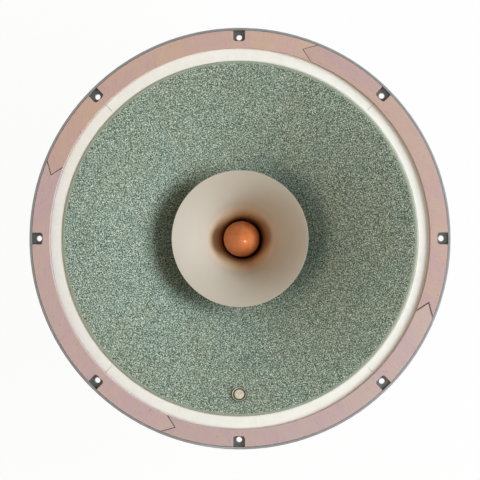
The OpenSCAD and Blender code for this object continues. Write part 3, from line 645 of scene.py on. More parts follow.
def facing_out(mesh: Mesh, join_mm: float = 0.001) -> None:
    """Merges a closed mesh's doubles and points its faces outwards."""
    work = bmesh.new()
    work.from_mesh(mesh)
    bmesh.ops.remove_doubles(work, verts=work.verts, dist=mm(join_mm))
    bmesh.ops.dissolve_degenerate(work, edges=work.edges, dist=mm(join_mm) / 10)
    bmesh.ops.recalc_face_normals(work, faces=work.faces)
    work.to_mesh(mesh)
    work.free()


def smoothed(piece: Piece, angle: float = SHARP) -> None:
    """Shades the piece smooth, but for edges sharper than the angle in degrees."""
    piece.data.shade_smooth()
    piece.data.set_sharp_from_angle(angle=radians(angle))


def coated(piece: Piece, material: Material) -> None:
    """Gives the whole piece one material."""
    piece.data.materials.clear()
    piece.data.materials.append(material)


def bevelled(piece: Piece, width_mm: float, steps: int) -> None:
    """Rounds the piece's sharp edges and makes the result its plain mesh."""
    edge = piece.modifiers.new("edges", "BEVEL")
    edge.width = mm(width_mm)
    edge.segments = steps
    edge.limit_method = "ANGLE"
    edge.angle_limit = radians(SHARP)
    edge.use_clamp_overlap = True
    settle(piece)
    smoothed(piece)
    even = piece.modifiers.new("even", "WEIGHTED_NORMAL")
    even.keep_sharp = True
    settle(piece)


def lathe(name: str, outline: Outline, turns: int = 96) -> Piece:
    """Turns an outline about the driver's axis into a closed piece.

    Args:
        name: The piece's name.
        outline: Radius and height of each point, in millimetres. It is closed from its last
            point to its first, and a point on the axis is a pole.
        turns: How many steps go round.

    Returns:
        The new piece.
    """
    work = bmesh.new()
    rings = []
    for out, height in outline:
        count = turns if out > 1e-6 else 1
        rings.append([work.verts.new(polar(out, tau * k / turns, height)) for k in range(count)])
    for low, high in zip(rings, rings[1:] + rings[:1]):
        for k in range(turns if len(low) + len(high) > 2 else 0):
            after = (k + 1) % turns
            corners = [low[k % len(low)], low[after % len(low)],
                       high[after % len(high)], high[k % len(high)]]
            work.faces.new(list(dict.fromkeys(corners)))
    mesh = bpy.data.meshes.new(name)
    work.to_mesh(mesh)
    work.free()
    facing_out(mesh)
    return placed(name, mesh)


def recipe(name: str, inputs: dict[str, str]) -> tuple[Tree, dict[str, Term]]:
    """Starts a Geometry Nodes tree.

    Args:
        name: The tree's name.
        inputs: The type of each named input.

    Returns:
        The tree and its inputs by name.
    """
    tree = bpy.data.node_groups.new(name, "GeometryNodeTree")
    tree.interface.new_socket("Geometry", in_out="OUTPUT", socket_type="NodeSocketGeometry")
    for label, kind in {"Geometry": "Geometry", **inputs, "Material": "Material"}.items():
        tree.interface.new_socket(label, in_out="INPUT", socket_type=f"NodeSocket{kind}")
    given = add(tree, "NodeGroupInput").outputs
    return tree, {socket.name: Term(tree, socket) for socket in given if socket.name}


def served(tree: Tree, given: dict[str, Term], geometry: Wire) -> Tree:
    """Ends a tree: the geometry is seated where it has a place, made real and given its material."""
    if "Place" in given:
        geometry = add(tree, "GeometryNodeTransform", {
            "Geometry": geometry, "Translation": given["Place"], "Rotation": given["Turn"]}).outputs[0]
    real = add(tree, "GeometryNodeRealizeInstances", {0: geometry})
    dressed = add(tree, "GeometryNodeSetMaterial", {
        "Geometry": real.outputs[0], "Material": given["Material"]})
    add(tree, "NodeGroupOutput", {0: dressed.outputs[0]})
    return tree


def tube(tree: Tree, curve: Wire, radius: Wire, sides: int) -> Socket:
    """A capped tube along a curve."""
    section = add(tree, "GeometryNodeCurvePrimitiveCircle", {"Resolution": sides, "Radius": radius})
    return add(tree, "GeometryNodeCurveToMesh", {
        "Curve": curve, "Profile Curve": section.outputs[0], "Fill Caps": True}).outputs[0]


def cooked(piece: Piece, tree: Tree, values: dict[str, object]) -> None:
    """Runs a tree on a piece and makes the result its plain mesh.

    Args:
        piece: The piece, whose mesh is what the tree starts from.
        tree: The tree to run.
        values: What each named input gets.
    """
    modifier = piece.modifiers.new(tree.name, "NODES")
    modifier.node_group = tree
    for item in tree.interface.items_tree:
        if item.item_type == "SOCKET" and item.in_out == "INPUT" and item.name in values:
            modifier[item.identifier] = values[item.name]
    settle(piece)


@dataclass
class Bench:
    """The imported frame, the materials made so far and what is done to each finished piece."""

    frame: dict
    made: dict[Finish, Material] = field(default_factory=dict)

    def material(self, finish: Finish) -> Material:
        """The finish's material, made once."""
        if finish not in self.made:
            self.made[finish] = finish.make()
        return self.made[finish]

    def copy(self, node: str, name: str) -> Piece:
        """A copy of a node's mesh with its doubles merged and its flat faces joined.

        Args:
            node: The node to copy.
            name: The new piece's name.

        Returns:
            The copy, at the origin.
        """
        mesh = self.frame["nodes"][node].data.copy()
        work = bmesh.new()
        work.from_mesh(mesh)
        bmesh.ops.remove_doubles(work, verts=work.verts, dist=mm(SAME))
        bmesh.ops.dissolve_limit(work, angle_limit=radians(FLAT), verts=work.verts, edges=work.edges)
        work.to_mesh(mesh)
        work.free()
        return placed(name, mesh)

    def fit(self, piece: Piece, body: Body, slot: str, *nodes: str) -> None:
        """Puts a finished piece on its body, in place of its nodes."""
        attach(piece, body.value)
        self.name(piece, slot, *nodes)

    def bend(self, piece: Piece, slot: str, node: str, start: Vector, end: Vector,
             share: Callable[[Vector], float] | None = None) -> None:
        """Bakes a finished piece's place into its mesh, hides the node it stands for and reports it;
        nothing makes it bend from the chassis to the moving cone.

        Args:
            piece: The piece, whose mesh is final.
            slot: The record's material slot; not used.
            node: The node it stands for.
            start: Where it would still follow the chassis; not used.
            end: Where it would follow the cone; not used.
            share: How far each point would follow the cone, where that isn't along start to end; it is
                worked out for each point and then not used.
        """
        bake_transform(piece)
        if share:
            weights = [share(point.co) for point in piece.data.vertices]
        self.name(piece, slot, node)

    def name(self, piece: Piece, slot: str, *nodes: str) -> None:
        """Hides the nodes that a piece stands for, and reports the piece and its nodes."""
        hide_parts(*nodes)
        LOG.info("%s: %d faces, for %s", piece.name, len(piece.data.polygons), ", ".join(nodes))

    def dress(self, node: str, finish: Finish) -> None:
        """Gives a node that keeps its shape its finish."""
        coated(self.frame["nodes"][node], self.material(finish))
        LOG.info("%s: dressed in %s", node, finish.name)

    def softened(self, node: str, finish: Finish, slot: str, edge_mm: float, steps: int = 2,
                 body: Body = Body.CHASSIS) -> None:
        """Stands in for a node with the same shape and small rounded edges."""
        piece = self.copy(node, f"{node}_finished")
        coated(piece, self.material(finish))
        bevelled(piece, edge_mm, steps)
        self.fit(piece, body, slot, node)


@dataclass
class Lamp:
    """A square soft lamp that looks at the driver, in degrees, metres and watts.

    Shiny surfaces show it if it is mirrored, and matt ones take its light if it is lit.
    """

    name: str
    bearing: float
    rise: float
    away: float
    size: float
    power: float
    tint: str
    mirrored: bool
    lit: bool

    def hang(self) -> None:
        """Puts the lamp up."""
        data = bpy.data.lights.new(self.name, "AREA")
        data.size, data.energy, data.color = self.size, self.power, linear(self.tint)[:3]
        lamp = placed(self.name, data)
        b, r = radians(self.bearing), radians(self.rise)
        lamp.location = self.away * Vector((cos(b) * cos(r), sin(b) * cos(r), sin(r)))
        lamp.rotation_euler = lamp.location.to_track_quat("Z", "Y").to_euler()
        lamp.visible_glossy, lamp.visible_diffuse = self.mirrored, self.lit


@dataclass
class Studio:
    """The camera, the white ground and the lamps."""

    sensor_mm: float = 36.0
    # From how large and where the flange stands in the picture
    lens_mm: float = 126.8
    distance: float = 1.55
    shift: tuple[float, float] = (0.0022, -0.0033)
    # From how far the plug and the whizzer stand off the middle of the flange
    aside: tuple[float, float] = (0.065, -0.012)
    ground: float = -0.1782
    ground_size: float = 12.0
    ground_glow: float = 0.95
    reach: float = 30.0
    lamps: tuple[Lamp, ...] = (
        Lamp("key", 2, 31, 1.7, 1.0, 36.5, "f5faff", mirrored=False, lit=True),
        Lamp("gleam", 2, 31, 1.7, 1.0, 16, "f5faff", mirrored=True, lit=False),
        Lamp("fill", 196, 34, 1.8, 1.0, 11, "ffe2c4", mirrored=False, lit=True),
        Lamp("spark", -34, 65, 1.6, 0.2, 8, "ffffff", mirrored=True, lit=False))

    def camera(self, front_z: float) -> None:
        """Hangs the camera over the driver's front, a little aside, and aims it at the middle."""
        data = bpy.data.cameras.new("camera")
        data.sensor_width, data.lens, data.clip_end = self.sensor_mm, self.lens_mm, self.reach
        data.shift_x, data.shift_y = self.shift
        camera = placed("camera", data)
        camera.location = (*self.aside, front_z + self.distance)
        x, y = self.aside
        camera.rotation_euler = (atan(-y / self.distance), atan(x / self.distance), 0.0)
        bpy.context.scene.camera = camera

    @staticmethod
    def seen(tree: Tree) -> Term:
        """One for rays from the camera, mirrors and glass, and zero for light that falls."""
        path = add(tree, "ShaderNodeLightPath").outputs
        camera, glossy, clear = (
            Term(tree, path[f"Is {ray} Ray"]) for ray in ("Camera", "Glossy", "Transmission"))
        return camera.do("MAXIMUM", glossy).do("MAXIMUM", clear)

    def floor(self) -> None:
        """A white floor that keeps a soft share of the driver's shadow."""
        half = self.ground_size / 2
        corners_xy = ((-half, -half), (half, -half), (half, half), (-half, half))
        mesh = bpy.data.meshes.new("floor")
        mesh.from_pydata([(x, y, self.ground) for x, y in corners_xy], [], [(0, 1, 2, 3)])
        floor = placed("floor", mesh)
        material = bpy.data.materials.new("white_ground")
        tree = emptied(material)
        matt = add(tree, "ShaderNodeBsdfDiffuse", {"Color": linear("f2f2f2")})
        glow = add(tree, "ShaderNodeEmission", {"Color": linear("ffffff"), "Strength": 1.0})
        mixed = add(tree, "ShaderNodeMixShader", {
            0: self.seen(tree) * self.ground_glow, 1: matt.outputs[0], 2: glow.outputs[0]})
        add(tree, "ShaderNodeOutputMaterial", {"Surface": mixed.outputs[0]})
        coated(floor, material)
        floor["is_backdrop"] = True

    def world(self, light: float = 0.22, tint: str = "fff6e9") -> None:
        """An even surround: plain white to the eye, and a soft warm light on the driver."""
        world = bpy.data.worlds.new("surround")
        tree = emptied(world)
        seen = self.seen(tree)
        colour = add(tree, "ShaderNodeMix", {
            0: seen, 6: linear(tint), 7: linear("ffffff")}, data_type="RGBA")
        back = add(tree, "ShaderNodeBackground", {
            "Color": colour.outputs[2], "Strength": seen * (1 - light) + light})
        add(tree, "ShaderNodeOutputWorld", {"Surface": back.outputs[0]})
        bpy.context.scene.world = world

    def build(self, front_z: float) -> None:
        """Sets up the whole studio."""
        bpy.context.scene.view_settings.view_transform = "Standard"
        self.camera(front_z)
        self.floor()
        self.world()
        for lamp in self.lamps:
            lamp.hang()


@dataclass
class Sizes:
    """The radii and heights, in millimetres, that more than one sub-assembly stands on."""

    flange_top: float = 5.0
    flap_out: float = 181.1
    trough_out: float = 172.9
    trough_in: float = 163.3
    trough_depth: float = 0.5
    cone_r: float = 163.0
    cone_neck_z: float = -75.4
    cone_depth: float = 82.0
    cone_curve: float = 1.1
    cone_t: float = 0.9
    hem_w: float = 3.0
    hem_drop: float = 0.4
    neck_r: float = 19.55
    soft_gap: float = 0.3

    def cone_z(self, out: float) -> float:
        """Height of the cone's front face at a radius."""
        share = (out - self.neck_r) / (self.cone_r - self.neck_r)
        rise = (1 - exp(-self.cone_curve * share)) / (1 - exp(-self.cone_curve))
        hem = max(0.0, (out - self.cone_r + self.hem_w) / self.hem_w)
        return self.cone_neck_z + self.cone_depth * rise - self.hem_drop * hem ** 2

    def cone_slope(self, out: float) -> float:
        """Slope of the cone's front face at a radius."""
        return (self.cone_z(out + 0.01) - self.cone_z(out - 0.01)) / 0.02

    def cone_back(self, out: float) -> float:
        """Height of the cone's back at a radius."""
        return self.cone_z(out) - self.cone_t * hypot(1, self.cone_slope(out))

    def surround_z(self, out: float) -> float:
        """Height of the surround's upper face at a radius."""
        if out >= self.trough_out:
            return self.flange_top
        if out >= self.trough_in:
            share = (self.trough_out - out) / (self.trough_out - self.trough_in)
            return self.flange_top - self.trough_depth * sin(pi * share) ** 2
        return min(self.flange_top, self.cone_back(min(out, self.cone_r)) - self.soft_gap)


@dataclass
class TurnedSheet:
    """A thin sheet turned about the axis, whose height follows a rule of the radius.

    Its closed section runs from the end of its collar along the front to the rim, round the rim
    and back. The rule is a formula in a Geometry Nodes tree, whose named inputs are its sizes.
    """

    name: str
    sizes: dict[str, float]
    rule: Callable[[dict[str, Term], Term], tuple[Term, Term]]
    steps: int = 120
    turns: int = 240
    collar_share: float = 0.05
    rim_share: float = 0.05

    def place(self, given: dict[str, Term], around: Term, along: Term) -> tuple[Term, Term, Term]:
        """Where a point of the sheet is.

        Args:
            given: The tree's inputs.
            around: How far round the axis the point is, from nought to one.
            along: How far along the closed section it is.

        Returns:
            Its three coordinates.
        """
        neck, thickness, end = (given[name] for name in ("Neck Radius", "Thickness", "Collar End"))
        run = along.do("FRACT") * 2.0 - 1.0
        side, out = run.do("SIGN"), 1.0 - run.do("ABSOLUTE")
        collar = (out / self.collar_share).do("MINIMUM", 1.0)
        span = out.run(self.collar_share, 1 - self.rim_share).do("POWER", given["Crowding"])
        rim = (out - (1 - self.rim_share)).do("MAXIMUM", 0.0) * (pi / 2 / self.rim_share)
        wall = (side * given["Collar Side"] * 0.5 + 0.5) * thickness + neck
        radius = (span * (given["Rim Radius"] - neck) + neck).do("MAXIMUM", wall)
        height, slope = self.rule(given, radius)
        through = rim.do("COSINE") * side * 0.5 + 0.5
        height = height - (slope * slope + 1.0).do("SQRT") * thickness * through
        x, y = (around * tau).turned(radius + rim.do("SINE") * thickness * 0.5)
        return x, y, (height - end) * collar + end

    def build(self, material: Material) -> Piece:
        """Makes the sheet.

        Args:
            material: Its finish.

        Returns:
            The piece, a closed mesh at the origin.
        """
        tree, given = recipe(self.name, {
            **dict.fromkeys(self.sizes, "Float"), "Steps": "Int", "Turns": "Int"})
        grid = add(tree, "GeometryNodeMeshGrid", {
            "Size X": 1.0, "Size Y": 1.0, "Vertices X": given["Turns"], "Vertices Y": given["Steps"]})
        around, along, _ = terms(tree, "ShaderNodeSeparateXYZ", {0: grid.outputs["UV Map"]})
        place = add(tree, "ShaderNodeCombineXYZ", dict(enumerate(self.place(given, around, along))))
        turned = add(tree, "GeometryNodeSetPosition", {
            "Geometry": grid.outputs["Mesh"], "Position": place.outputs[0]})
        closed = add(tree, "GeometryNodeMergeByDistance", {
            "Geometry": turned.outputs[0], "Distance": mm(SAME)})
        piece = placed(self.name, bpy.data.meshes.new(self.name))
        cooked(piece, served(tree, given, closed.outputs[0]), {
            **self.sizes, "Steps": self.steps + 1, "Turns": self.turns + 1, "Material": material})
        facing_out(piece.data)
        smoothed(piece, SHARP_SHEET)
        return piece


def flare_rule(given: dict[str, Term], radius: Term) -> tuple[Term, Term]:
    """Height and slope of a flare that flattens from its neck to a rim with a turned-down hem."""
    width, curve = given["Rim Radius"] - given["Neck Radius"], given["Curve"]
    fade = ((radius - given["Neck Radius"]) / width * curve * -1.0).do("EXPONENT")
    whole = 1.0 - (curve * -1.0).do("EXPONENT")
    hem = ((radius - given["Rim Radius"] + given["Hem Width"]) / given["Hem Width"]).do("MAXIMUM", 0.0)
    height = (1.0 - fade) / whole * given["Depth"] + given["Neck Height"] - hem * hem * given["Hem Drop"]
    slope = fade * curve / whole * given["Depth"] / width
    return height, slope - hem * given["Hem Drop"] * 2.0 / given["Hem Width"]


def wave_rule(given: dict[str, Term], radius: Term) -> tuple[Term, Term]:
    """Height and slope of even round waves between two radii, flat on either side of them."""
    share = ((radius - given["Wave Start"]) / given["Wave Run"]).within(0.0, 1.0)
    phase = share * given["Waves"] * tau
    inside = share.do("GREATER_THAN", 0.0) * share.do("LESS_THAN", 1.0)
    slope = phase.do("COSINE") * given["Wave Height"] * given["Waves"] * tau / given["Wave Run"]
    return phase.do("SINE") * given["Wave Height"] + given["Neck Height"], slope * inside


def screws_recipe() -> Tree:
    """Geometry Nodes: copies of one screw on a circle, each with its slot turned its own way."""
    tree, given = recipe("screws_on_a_circle", {
        "Count": "Int", "Circle Radius": "Float", "First Bearing": "Float", "Place": "Vector",
        "Turn": "Vector", "Seed": "Int"})
    number = Term(tree, add(tree, "GeometryNodeInputIndex").outputs[0])
    x, y = (number / given["Count"] * tau + given["First Bearing"]).turned(given["Circle Radius"])
    spot = add(tree, "ShaderNodeCombineXYZ", {0: x, 1: y})
    points = add(tree, "GeometryNodePoints", {"Count": given["Count"], "Position": spot.outputs[0]})
    slot_turn = add(tree, "FunctionNodeRandomValue", {
        "Min": (0.0, 0.0, 0.0), "Max": (0.0, 0.0, pi), "Seed": given["Seed"]},
        data_type="FLOAT_VECTOR")
    copies = add(tree, "GeometryNodeInstanceOnPoints", {
        "Points": points.outputs[0], "Instance": given["Geometry"], "Rotation": slot_turn.outputs[0]})
    return served(tree, given, copies.outputs[0])


@dataclass
class Screws:
    """A group of slotted cheese-head screws: one is turned and slotted, and the rest are copies."""

    node: str
    thread_d: float
    head_d: float
    head_h: float
    length: float
    count: int
    circle: float
    place: tuple[float, float, float]
    turn: tuple[float, float, float] = (0.0, 0.0, 0.0)
    bearing: float = 0.0
    washer: tuple[float, float] = (0.0, 0.0)
    seed: int = 1
    slot: str = "zinc_steel"
    finish: Finish = ZINC_STEEL
    # The slot's half width and the rounding at the head's top, as shares of its width and height
    saw_share: float = 0.1
    round_share: float = 0.14
    corner_share: float = 0.35
    point: tuple[float, float] = (0.4, 0.6)
    edge: float = 0.1
    turns: int = 40

    def pattern(self) -> Piece:
        """One screw along Z, with its head's underside at height zero."""
        head, bolt = self.head_d / 2, self.thread_d / 2
        lift, soft = self.washer[1], self.head_h * self.round_share
        top, corner = lift + self.head_h, soft * self.corner_share
        screw = lathe(f"{self.node}_finished", [
            (0, -self.length), (bolt - self.point[0], -self.length), (bolt, self.point[1] - self.length),
            (bolt, lift), (head - self.edge, lift), (head, lift + self.edge), (head, top - soft),
            (head - corner, top - corner), (head - soft, top), (0, top)], self.turns)
        cutter = bpy.data.meshes.new("slot")
        box = bmesh.new()
        size = (mm(self.head_d * 2), mm(self.head_d * self.saw_share * 2), mm(self.head_h), 1)
        seat = Matrix.Translation((0, 0, mm(top))) @ Matrix.Diagonal(size)
        bmesh.ops.create_cube(box, size=1.0, matrix=seat)
        box.to_mesh(cutter)
        box.free()
        saw = placed("slot", cutter)
        cut = screw.modifiers.new("slot", "BOOLEAN")
        cut.object = saw
        cut.solver = "EXACT"
        settle(screw)
        bpy.data.objects.remove(saw)
        return screw

    def build(self, bench: Bench, tree: Tree) -> None:
        """Makes the group and puts it on the chassis."""
        piece = self.pattern()
        if self.washer[0]:
            washer = lathe("washer", [
                (self.thread_d / 2, 0), (self.washer[0], 0), (self.washer[0], self.washer[1]),
                (self.thread_d / 2, self.washer[1])], self.turns)
            work = bmesh.new()
            work.from_mesh(piece.data)
            work.from_mesh(washer.data)
            work.to_mesh(piece.data)
            work.free()
            bpy.data.objects.remove(washer)
        cooked(piece, tree, {
            "Count": self.count, "Circle Radius": mm(self.circle),
            "First Bearing": radians(self.bearing), "Place": [mm(c) for c in self.place],
            "Turn": [radians(c) for c in self.turn], "Seed": self.seed,
            "Material": bench.material(self.finish)})
        smoothed(piece)
        bench.fit(piece, Body.CHASSIS, self.slot, self.node)


@dataclass
class Rim:
    """The basket's casting and the four arcs of the gasket on its flange."""

    bench: Bench
    casting_edge: float = 0.6
    board_edge: float = 0.3
    segments: int = 4
    # Which way the fibres lie in each arc, in degrees
    fibre_turns: tuple[float, ...] = (102.0, 62.0, 120.0, 145.0)
    # Each arc was cut from its own sheet: one is tanner, the others are pinker
    board_tones: tuple[tuple[str, str, str], ...] = (
        ("c5a99d", "cfb3a5", "d6baac"), ("bfacad", "cab6b7", "d1bebd"),
        ("b6a7a7", "c2b1b2", "c9b6b7"), ("b49e99", "bfa7a1", "c6ada7"))
    gasket_radii: tuple[float, float] = (175.0, 191.2)
    first_joint: float = 68.0
    joint_lead: float = 10.6
    front: float = 9.0
    # How wide the glue shows in each joint, from the first one on
    glue_widths: tuple[float, ...] = (0.45, 0.6, 0.75, 1.3)
    glue_depth: float = 1.2
    glue_proud: float = 0.06
    glue_inset: float = 0.4
    # Across a leg the glue is narrower than round the arc, as the legs lean
    lean: float = 1.6

    def glue_line(self, work: bmesh.types.BMesh, number: int) -> None:
        """Adds the glue in one arrow joint: a thin chevron from the inner to the outer edge."""
        inner, outer = self.gasket_radii
        turn = radians(self.first_joint + 90 * number)
        mid = (inner + outer) / 2
        spine = [(inner + self.glue_inset, turn), (mid, turn + self.joint_lead / mid),
                 (outer - self.glue_inset, turn)]
        half = self.glue_widths[number] / 2 * self.lean
        rows = []
        for z in (self.front - self.glue_depth, self.front + self.glue_proud):
            for side in (-1, 1):
                rows.append([work.verts.new(polar(r, a + side * half / r, z)) for r, a in spine])
        low_a, low_b, high_a, high_b = rows
        for k in range(len(spine) - 1):
            for one, two in ((low_a, low_b), (low_b, high_b), (high_b, high_a), (high_a, low_a)):
                work.faces.new((one[k], one[k + 1], two[k + 1], two[k]))
        for k in (0, len(spine) - 1):
            work.faces.new((low_a[k], low_b[k], high_b[k], high_a[k]))

    def glue(self) -> None:
        """The dark glue in the gasket's four joints."""
        work = bmesh.new()
        for number in range(self.segments):
            self.glue_line(work, number)
        mesh = bpy.data.meshes.new("joint_glue")
        work.to_mesh(mesh)
        work.free()
        facing_out(mesh)
        piece = placed("joint_glue", mesh)
        coated(piece, self.bench.material(JOINT_GLUE))
        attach(piece, Body.CHASSIS.value)

    def build(self) -> None:
        """Makes the casting, the gasket and the glue in its joints."""
        self.glue()
        self.bench.softened("basket", FRAME_ENAMEL, "basket_paint", self.casting_edge, 3)
        arcs = zip(range(1, self.segments + 1), self.fibre_turns, self.board_tones)
        for number, turn, tones in arcs:
            board = replace(GASKET_BOARD, name=f"{GASKET_BOARD.name}_{number}", tones=tones,
                            turn=radians(turn))
            self.bench.softened(f"gasket_segment_{number}", board, "gasket_fibre", self.board_edge)


@dataclass
class Surround:
    """Four strips of thin skin between the gasket and the cone's edge."""

    bench: Bench
    sizes: Sizes
    thickness: float = 0.8
    flap: float = 5.0
    first_seam: float = 45.0
    seam_gap: float = 0.3
    trough_steps: int = 18
    arc_steps: int = 220
    # The drawn skin stands a little above its glued flap, about level with the cone's edge
    level: float = 5.4
    flap_in: float = 174.9
    level_out: float = 173.9
    level_in: float = 164.6
    tuck_in: float = 163.6
    turn_steps: int = 6
    pleat_height: float = 0.16
    seed: int = 7

    def section(self) -> list[tuple[float, float, float]]:
        """The section from under the gasket to behind the cone: radius, upper and lower height."""
        s, steps = self.sizes, self.turn_steps
        lift = self.level - s.flange_top
        points = [(s.flap_out, s.flange_top)]
        turns = [(k / steps, (1 - cos(pi * k / steps)) / 2) for k in range(steps + 1)]
        points += [(self.flap_in + (self.level_out - self.flap_in) * run, s.flange_top + lift * up)
                   for run, up in turns]
        span = self.level_out - self.level_in
        points += [(self.level_out - span * k / self.trough_steps, self.level)
                   for k in range(1, self.trough_steps + 1)]
        points += [(self.level_in + (self.tuck_in - self.level_in) * run, self.level - lift * up)
                   for run, up in turns[1:]]
        points += [(out, s.surround_z(out))
                   for out in (s.cone_r, s.cone_r - s.hem_w / 2, s.cone_r - s.hem_w,
                               s.cone_r - self.flap)]
        return [(out, high, high - self.thickness) for out, high in points]

    def pleats(self, chance: random.Random) -> Callable[[float, float], float]:
        """Fine creases across the trough, where the skin was drawn into it.

        Args:
            chance: Where the creases' places come from.

        Returns:
            The creases' height at a bearing in radians and a radius in millimetres.
        """
        s = self.sizes
        waves = [(chance.uniform(60, 240), chance.uniform(0, tau), chance.uniform(0.3, 1.0))
                 for _ in range(9)]
        total = sum(w[2] for w in waves)

        def crease(bearing: float, out: float) -> float:
            """The creases' height, which fades towards the trough's sides."""
            inside = (s.trough_out - out) / (s.trough_out - s.trough_in)
            if not 0 < inside < 1:
                return 0.0
            sway = 0.06 * sin(out / 3)
            wave = sum(a * sin(n * (bearing + sway / n) + p) for n, p, a in waves) / total
            return self.pleat_height * wave * sin(pi * inside)

        return crease

    def share(self, place: Vector) -> float:
        """How far a point would follow the cone: none at the flange, all behind the cone's edge."""
        s = self.sizes
        out = hypot(place.x, place.y) * 1000
        run = (s.trough_out - out) / (s.trough_out - s.cone_r)
        run = min(1.0, max(0.0, run))
        return run * run * (3 - 2 * run)

    def strip(self, number: int) -> Piece:
        """One strip as a closed mesh, a quarter of the way round less its seam."""
        s = self.sizes
        section = self.section()
        crease = self.pleats(random.Random(self.seed + number))
        gap = self.seam_gap / s.trough_in / 2
        first = radians(self.first_seam + 90 * (number - 1)) + gap
        last = radians(self.first_seam + 90 * number) - gap
        points = []
        for k in range(self.arc_steps + 1):
            bearing = first + (last - first) * k / self.arc_steps
            upper = [(r, high + crease(bearing, r)) for r, high, low in section]
            lower = [(r, low + crease(bearing, r)) for r, high, low in reversed(section)]
            for r, z in upper + lower:
                points.append(polar(r, bearing, z))
        count = 2 * len(section)
        faces = [
            (a * count + k, a * count + (k + 1) % count, (a + 1) * count + (k + 1) % count,
             (a + 1) * count + k)
            for a in range(self.arc_steps) for k in range(count)
        ]
        for base in (0, self.arc_steps * count):
            faces += [(base + k, base + k + 1, base + count - 2 - k, base + count - 1 - k)
                      for k in range(len(section) - 1)]
        mesh = bpy.data.meshes.new(f"surround_skin_{number}")
        mesh.from_pydata(points, [], faces)
        facing_out(mesh)
        return placed(mesh.name, mesh)

    def build(self) -> None:
        """Makes the strips, which lie on the flange outside and reach behind the cone inside.

        Each point's share of a bend towards the axis is set from its radius, but nothing makes the strips
        bend.
        """
        for number in range(1, 5):
            piece = self.strip(number)
            coated(piece, self.bench.material(SKIN))
            smoothed(piece, SHARP_SHEET)
            bearing = radians(self.first_seam + 90 * (number - 0.5))
            way = Vector((cos(bearing), sin(bearing), 0))
            self.bench.bend(
                piece, "surround_leather", f"surround_strip_{number}",
                way * mm(self.sizes.trough_out), way * mm(self.sizes.cone_r), self.share)


